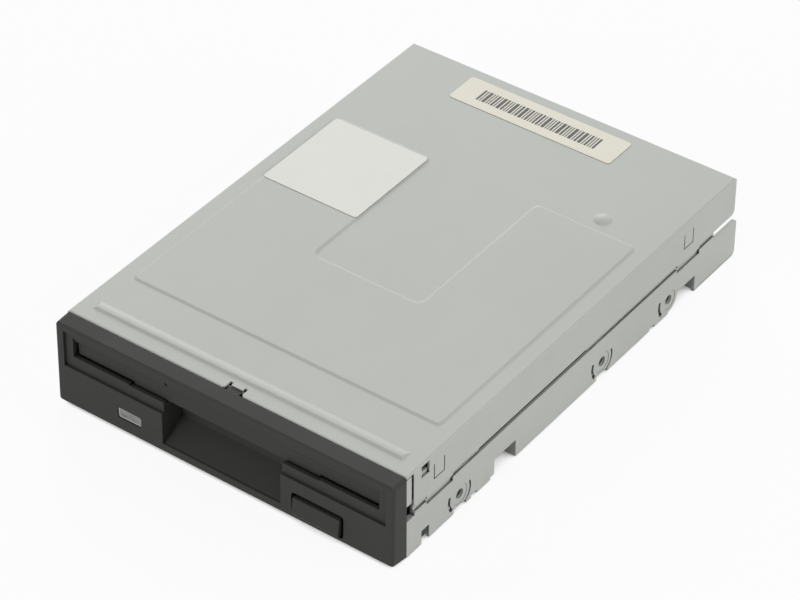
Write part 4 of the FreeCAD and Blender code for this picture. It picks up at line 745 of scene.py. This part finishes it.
def layBoard(board, routes, dead, joints, wide=()):
    # traces on the lower face of a board, vias at the ends of the dead ones, and solder joints
    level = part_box(board)[0].z
    copper, holes, solder = bmesh.new(), bmesh.new(), bmesh.new()
    for runs, width in ((routes + dead, trace["width"]), (wide, trace["groundWidth"])):
        for spots in runs:
            addStrip(copper, spots, width, level)
    thicken(copper, -trace["thick"] * mm)
    for spots in dead:
        addVia(holes, spots[-1], level)
    for spot in joints:
        addSolder(solder, spot, level)
    newPiece(board + "_traces", copper, "frame", "board_green", smooth=20, look="maskedTrace")
    newPiece(board + "_vias", holes, "frame", "contact_brass", look="tinnedLeg")
    newPiece(board + "_solder", solder, "frame", "contact_brass", look="tinnedLeg")


def addBox(bm, low, high):
    verts = bmesh.ops.create_cube(bm, size=1)["verts"]
    bmesh.ops.scale(bm, verts=verts, vec=high - low)
    bmesh.ops.translate(bm, verts=verts, vec=(low + high) / 2)
    return verts


def edgesAlong(bm, axis):
    return [e for e in bm.edges if abs((e.verts[0].co - e.verts[1].co).dot(axis)) > weld]


def bevelEdges(bm, edges, offset, segments=1):
    bmesh.ops.bevel(
        bm, geom=edges, offset=offset, segments=segments, profile=0.5, affect="EDGES", material=-1
    )


def addBlock(bm, low, high, edge):
    verts = addBox(bm, low, high)
    bevelEdges(bm, [e for e in bm.edges if all(v in verts for v in e.verts)], edge)


# each row of resistors is (y, first x, count)
chipPart = {"width": 1.25, "length": 2.0, "height": 0.55, "end": 0.42, "edge": 0.07, "pitch": 3.4,
            "rows": ((29.5, -19.0, 12), (21.0, -15.6, 10))}


def makeChipParts():
    # two rows of small resistors between the chips, with their soldered ends
    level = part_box("main_board")[0].z
    bodies, ends = bmesh.new(), bmesh.new()
    keys = ("width", "length", "height", "end", "edge")
    width, length, height, end, edge = (chipPart[key] * mm for key in keys)
    for y, x, count in chipPart["rows"]:
        for n in range(count):
            at = Vector(((x + n * chipPart["pitch"]) * mm, y * mm, level))
            half = Vector((width / 2, length / 2 - end, 0))
            addBlock(bodies, at - half + down * height, at + half, edge)
            for out in (front, back):
                middle = at + out * (length - end) / 2 + down * height / 2
                reach = Vector((width / 2 + edge / 2, end / 2, height / 2 + edge / 2))
                addBlock(ends, middle - reach, middle + reach, edge)
    newPiece("chip_resistors", bodies, "frame", "chip_black", smooth=20)
    newPiece("chip_resistor_ends", ends, "frame", "contact_brass", smooth=20, look="tinnedLeg")


makeChipParts()

# which legs and pins of the main board are wired to each other
mainRun = {"row": 17, "firstBack": 10, "rightPins": slice(6, 12), "smallLegs": slice(1, 3),
           "smallPins": slice(13, 15), "freeRight": slice(6, 10), "freeLeft": slice(6, 12)}


def layMainBoard():
    chip = islands("control_chip")[0]
    small = sorted(islands("small_chips"), key=lambda box: (round(box[0].y, 4), box[0].x))
    pins, power = pinSpots("signal_pins"), pinSpots("power_pins")
    near, far = pins[:mainRun["row"]], pins[mainRun["row"]:]
    behind, ahead, onRight, onLeft = (toes(chip, out, controlLeg) for out in (back, front, right, left))
    toLeft, toRight, toNear = (toes(box, back, smallLeg) for box in small[:3])
    routes = routeAll(fanRoute, behind[mainRun["firstBack"]:], near, trace["fan"])
    routes += routeAll(turnRoute, reversed(onRight), near[mainRun["rightPins"]])
    routes += routeAll(turnRoute, reversed(onLeft), reversed(power))
    routes += routeAll(turnRoute, onRight, toRight)
    routes += routeAll(turnRoute, onLeft, reversed(toLeft))
    routes += routeAll(fanRoute, toNear[mainRun["smallLegs"]], near[mainRun["smallPins"]], trace["width"])
    ground = far[0].y + trace["groundBack"]
    routes += [[spot, Vector((spot.x, ground))] for spot in far]
    dead = stubs(behind[:mainRun["firstBack"]], back) + stubs(ahead, front)
    dead += stubs(onRight[mainRun["freeRight"]], right) + stubs(onLeft[mainRun["freeLeft"]], left)
    for box in small:
        dead += stubs(toes(box, front, smallLeg), front)
    for y, x, count in chipPart["rows"]:
        middles = [Vector((x + n * chipPart["pitch"], y)) for n in range(count)]
        for out in (front, back):
            dead += stubs([middle + out.xy * chipPart["length"] / 2 for middle in middles], out)
    over = trace["groundOver"]
    strip = [Vector((far[0].x - over, ground)), Vector((far[-1].x + over, ground))]
    layBoard("main_board", routes, dead, pins + power, [strip])


# where the motor board's wired runs end, in mm, and which legs are wired or free
motorRun = {"lamp": (-32.2, -57.0), "lampStep": 0.7, "lampCount": 4, "lampCorner": 12.0,
            "sensor": (25.6, -15.6), "sensorStep": -1.0, "sensorCount": 3,
            "coil": (-4.0, -8.0), "coilStep": 4.0, "coilCount": 3, "coilLead": 1.5,
            "coilLegs": slice(3, 6), "freeRight": 6, "freeLeft": 5}


def runEnds(kind):
    x, y = motorRun[kind]
    return [Vector((x + n * motorRun[kind + "Step"], y)) for n in range(motorRun[kind + "Count"])]


def layMotorBoard():
    chip = islands("motor_chip")[0]
    behind, ahead, onRight, onLeft = (toes(chip, out, motorLeg) for out in (back, front, right, left))
    lamp, sensor, coil = runEnds("lamp"), runEnds("sensor"), runEnds("coil")
    routes = routeAll(turnRoute, reversed(onLeft), lamp, motorRun["lampCorner"])
    routes += routeAll(turnRoute, reversed(onRight), sensor)
    routes += routeAll(fanRoute, ahead[motorRun["coilLegs"]], coil, motorRun["coilLead"])
    dead = stubs(behind, back)
    dead += stubs(onRight[:motorRun["freeRight"]], right) + stubs(onLeft[:motorRun["freeLeft"]], left)
    layBoard("motor_board", routes, dead, lamp[::2] + sensor + coil)


layMainBoard()
layMotorBoard()
print("boards laid out")


capacitor = {"base": 0.5, "crimp": 0.9, "waist": 0.25, "round": 0.35, "soft": 0.3, "chamfer": 0.5,
             "sides": 32}


def makeCapacitors():
    # crimped cans on square bases with cut corners
    cans, bases = bmesh.new(), bmesh.new()
    for low, high in islands("capacitors"):
        radius, height = (high.x - low.x) / 2 / mm, (high.z - low.z) / mm
        base, crimp, waist, edge, soft = (capacitor[k] for k in ("base", "crimp", "waist", "round", "soft"))
        profile = [(0, base), (radius, base), (radius, crimp - waist / 2), (radius - waist, crimp),
                   (radius, crimp + waist / 2), (radius, height - edge),
                   (radius - edge * soft, height - edge * soft), (radius - edge, height), (0, height)]
        foot = Vector(((low.x + high.x) / 2, (low.y + high.y) / 2, low.z))
        single = bmesh.new()
        roundBar(single, profile, capacitor["sides"], foot, up)
        joinInto(cans, single)
        corner = Vector((radius, radius, 0)) * mm
        addBox(bases, foot - corner, foot + corner + up * base * mm)
    bevelEdges(bases, edgesAlong(bases, up), capacitor["chamfer"] * mm)
    newPiece("capacitor_cans", cans, "frame", "capacitor_can", ["capacitors"])
    newPiece("capacitor_bases", bases, "frame", "chip_black", smooth=20)


makeCapacitors()
print("chips and capacitors detailed")

winding = {"turns": 12, "round": 0.45, "roundSteps": 3, "valley": 0.12}


def makeWindings():
    # each coil is a ribbed sleeve round its tooth, one rib for each turn of wire
    coils = islands("stator_coils")
    low, high = max(coils, key=lambda box: box[0].x + box[1].x)
    middle, reach = (low + high) / 2, (high - low) / 2
    axis = midBox("spindle_shaft")[0].xy.to_3d()
    narrow = [1 - winding["valley"] * mm / side for side in (reach.y, reach.z)]
    zAlongX = Matrix(((0, 0, 1, 0), (1, 0, 0, 0), (0, 1, 0, 0), (0, 0, 0, 1)))
    bm = bmesh.new()
    for n in range(len(coils)):
        single = bmesh.new()
        bmesh.ops.create_grid(single, x_segments=1, y_segments=1, size=1)
        size = (reach.y * narrow[0], reach.z * narrow[1], 1)
        bmesh.ops.scale(single, verts=single.verts, vec=size)
        bmesh.ops.bevel(
            single, geom=single.verts[:], offset=winding["round"] * mm, segments=winding["roundSteps"],
            profile=0.5, affect="VERTICES", material=-1
        )
        bmesh.ops.translate(single, verts=single.verts, vec=down * reach.x)
        face = single.faces[:][0]
        for step in range(2 * winding["turns"]):
            face = extrudeFace(single, face)
            swell = [1 / share if step % 2 == 0 else share for share in narrow]
            bmesh.ops.scale(single, verts=face.verts[:], vec=(*swell, 1))
            bmesh.ops.translate(single, verts=face.verts[:], vec=up * reach.x / winding["turns"])
        turn = Matrix.Rotation(2 * math.pi * n / len(coils), 4, "Z")
        place = Matrix.Translation(axis) @ turn @ Matrix.Translation(middle - axis) @ zAlongX
        bmesh.ops.transform(single, matrix=place, verts=single.verts)
        joinInto(bm, single)
    body, slot = nodeBody("stator_coils"), nodeSlot("stator_coils")
    newPiece("stator_windings", bm, body, slot, ["stator_coils"], smooth=50)


makeWindings()

motorCan = {"roll": 0.6, "soft": 0.18, "groove": 0.25, "seat": 3.4, "dish": 0.45, "boss": 1.5,
            "bossBack": 0.1, "sides": 64}


def makeMotorCan():
    # two drawn cups that meet at a groove, with a dished rear end and its bearing boss
    middle, size = midBox("stepper_can")
    radius, half = size.x / 2 / mm, size.y / 2 / mm
    roll, soft, groove, seat, dish, boss, bossBack, sides = motorCan.values()
    floor, top = half - dish, half - bossBack
    profile = [(0, top), (boss - bossBack, top), (boss, floor), (seat, floor), (seat + bossBack, half),
               (radius - roll, half), (radius - soft, half - soft), (radius, half - roll),
               (radius, groove), (radius - groove, 0), (radius, -groove), (radius, -half), (0, -half)]
    bm = bmesh.new()
    roundBar(bm, profile, sides, middle, back)
    body, slot = nodeBody("stepper_can"), nodeSlot("stepper_can")
    newPiece("stepper_cups", bm, body, slot, ["stepper_can"], smooth=30)


makeMotorCan()

# frontal and forward say how squarely a face looks ahead, on the middle and on the slopes round it
lens = {"inset": 0.6, "corner": 0.55, "cornerSteps": 4, "line": 0.16, "rim": 0.34, "rise": 0.12,
        "frontal": 0.9, "forward": 0.3}


def makeLens():
    # the window part of the lens, with a dark ring painted as the shadow of its gap and a pale rim round
    # its raised middle
    low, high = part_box("lamp_lens")
    bm = bmesh.new()
    inset = Vector((lens["inset"], 0, lens["inset"])) * mm
    addBox(bm, low + inset, high - inset)
    bevelEdges(bm, edgesAlong(bm, back), lens["corner"] * mm, lens["cornerSteps"])
    inner = [f for f in bm.faces if f.normal.dot(front) > lens["frontal"]]
    line = bmesh.ops.inset_region(bm, faces=inner, thickness=lens["line"] * mm, depth=0)["faces"]
    bmesh.ops.inset_region(bm, faces=inner, thickness=lens["rim"] * mm, depth=-lens["rise"] * mm)
    for face in bm.faces:
        if face not in inner and face.normal.dot(front) > lens["forward"]:
            face.material_index = 1 if face in line else 2
    piece = newPiece("lamp_window", bm, "frame", "smoked_lens", ["lamp_lens"], smooth=30)
    piece.data.materials.append(finishes["lensGapShadow"])
    piece.data.materials.append(finishes["lensRim"])


makeLens()

bars = {"widths": (2, 1, 3, 1, 1, 2, 1, 3, 2, 1, 1, 3, 1, 2, 3, 1, 2, 1, 1, 2), "gap": 1.35, "thick": 0.02,
        "from": 0.13, "to": 0.87, "front": 0.28, "rear": 0.72}


def makeBars():
    # plain strips whose widths are made up and spell nothing
    low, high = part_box("bar_label")
    size = high - low
    bm = bmesh.new()
    row = bars["widths"] * 2
    unit = size.x * (bars["to"] - bars["from"]) / (sum(row) + bars["gap"] * len(row))
    depth = size.y * (bars["rear"] - bars["front"])
    x, y = low.x + size.x * bars["from"], low.y + size.y * (bars["front"] + bars["rear"]) / 2
    for width in row:
        verts = bmesh.ops.create_grid(bm, x_segments=1, y_segments=1, size=0.5)["verts"]
        bmesh.ops.scale(bm, verts=verts, vec=(width * unit, depth, 1))
        bmesh.ops.translate(bm, verts=verts, vec=(x + width * unit / 2, y, high.z))
        x += (width + bars["gap"]) * unit
    thicken(bm, bars["thick"] * mm)
    newPiece("label_bars", bm, "frame", "cream_label", look="printInk")


makeBars()
print("window and bars made")


def seenWhite(tree, lit, strength, share):
    # white to the camera, mirrors and glass, and the plain lit surface to everything else
    rays = tree.nodes.new("ShaderNodeLightPath").outputs
    mirrored = calculate(tree, "MAXIMUM", rays["Is Glossy Ray"], rays["Is Transmission Ray"])
    seen = calculate(tree, "MAXIMUM", rays["Is Camera Ray"], mirrored)
    white = tree.nodes.new(strength)
    white.inputs["Color"].default_value = (1, 1, 1, 1)
    white.inputs["Strength"].default_value = 1
    mix = tree.nodes.new("ShaderNodeMixShader")
    link(tree, calculate(tree, "MULTIPLY", seen, share), mix.inputs[0])
    tree.links.new(lit, mix.inputs[1])
    tree.links.new(white.outputs[0], mix.inputs[2])
    return mix.outputs[0]


stage = {"floor": (0.85, 0.85, 0.85), "floorRough": 0.9, "floorSize": 3, "below": 0.1, "floorWhite": 0.93,
         "coverReach": 0.02, "coverSamples": 8, "coverRange": (0.1, 0.35), "roomLight": 0.25}


def makeFloor():
    # the camera sees white, except close under the object, where an occlusion mask takes the white away,
    # which paints shade there, and the floor shows its own lit shadow
    bm = bmesh.new()
    bmesh.ops.create_grid(bm, x_segments=1, y_segments=1, size=stage["floorSize"])
    bmesh.ops.translate(bm, verts=bm.verts, vec=(0, 0, cadBox[0].z - stage["below"] * mm))
    mesh = bpy.data.meshes.new("floor")
    bm.to_mesh(mesh)
    bm.free()
    floor = bpy.data.objects.new("floor", mesh)
    bpy.context.scene.collection.objects.link(floor)
    pale = bpy.data.materials.new("pale floor")
    pale.use_nodes = True
    tree = pale.node_tree
    shader = tree.nodes["Principled BSDF"]
    shader.inputs["Base Color"].default_value = (*stage["floor"], 1)
    shader.inputs["Roughness"].default_value = stage["floorRough"]
    # painted shade: the white share falls to nothing where nearby things cover the floor
    clear = openness(tree, stage["coverReach"], stage["coverSamples"])
    share = spread(tree, clear, *stage["coverRange"], 0.0, stage["floorWhite"])
    surface = seenWhite(tree, shader.outputs[0], "ShaderNodeEmission", share)
    tree.links.new(surface, tree.nodes["Material Output"].inputs["Surface"])
    mesh.materials.append(pale)


def makeRoom():
    world = bpy.data.worlds.new("studio")
    bpy.context.scene.world = world
    world.use_nodes = True
    tree = world.node_tree
    room = tree.nodes["Background"]
    room.inputs["Color"].default_value = (1, 1, 1, 1)
    room.inputs["Strength"].default_value = stage["roomLight"]
    surface = seenWhite(tree, room.outputs[0], "ShaderNodeBackground", 1.0)
    tree.links.new(surface, tree.nodes["World Output"].inputs["Surface"])


lamps = {
    "key": {"spot": (-2.1, 2.4, 1.25), "size": 1.9, "power": 68.0},
    "right": {"spot": (1.5, 0.5, 0.8), "size": 1.0, "power": 14.0},
    "front": {"spot": (-0.2, -1.5, 0.8), "size": 1.0, "power": 9.5},
}


def putInScene(thing, spot, looking):
    bpy.context.scene.collection.objects.link(thing)
    thing.location = spot
    thing.rotation_mode = "QUATERNION"
    thing.rotation_quaternion = looking.to_track_quat("-Z", "Y")


def addLamps():
    for name, lamp in lamps.items():
        data = bpy.data.lights.new(name, "AREA")
        data.shape = "DISK"
        data.size = lamp["size"]
        data.energy = lamp["power"]
        putInScene(bpy.data.objects.new(name, data), lamp["spot"], -Vector(lamp["spot"]))


# target and distance in mm, angles in degrees, clip in m
cameraView = {"target": (2.110, -4.776, 12.7), "distance": 829.54, "azimuth": 36.461, "elevation": 38.973,
              "lens": 150.6, "sensor": 36, "clip": 20}


def addCamera():
    azimuth, elevation = math.radians(cameraView["azimuth"]), math.radians(cameraView["elevation"])
    across = math.cos(elevation)
    away = Vector((math.sin(azimuth) * across, -math.cos(azimuth) * across, math.sin(elevation)))
    data = bpy.data.cameras.new("camera")
    data.lens = cameraView["lens"]
    data.sensor_width = cameraView["sensor"]
    data.clip_end = cameraView["clip"]
    camera = bpy.data.objects.new("camera", data)
    putInScene(camera, (Vector(cameraView["target"]) + away * cameraView["distance"]) * mm, -away)
    bpy.context.scene.camera = camera


makeFloor()
makeRoom()
addLamps()
addCamera()
bpy.context.scene.view_settings.view_transform = "Standard"
print("stage, lamps and camera set")
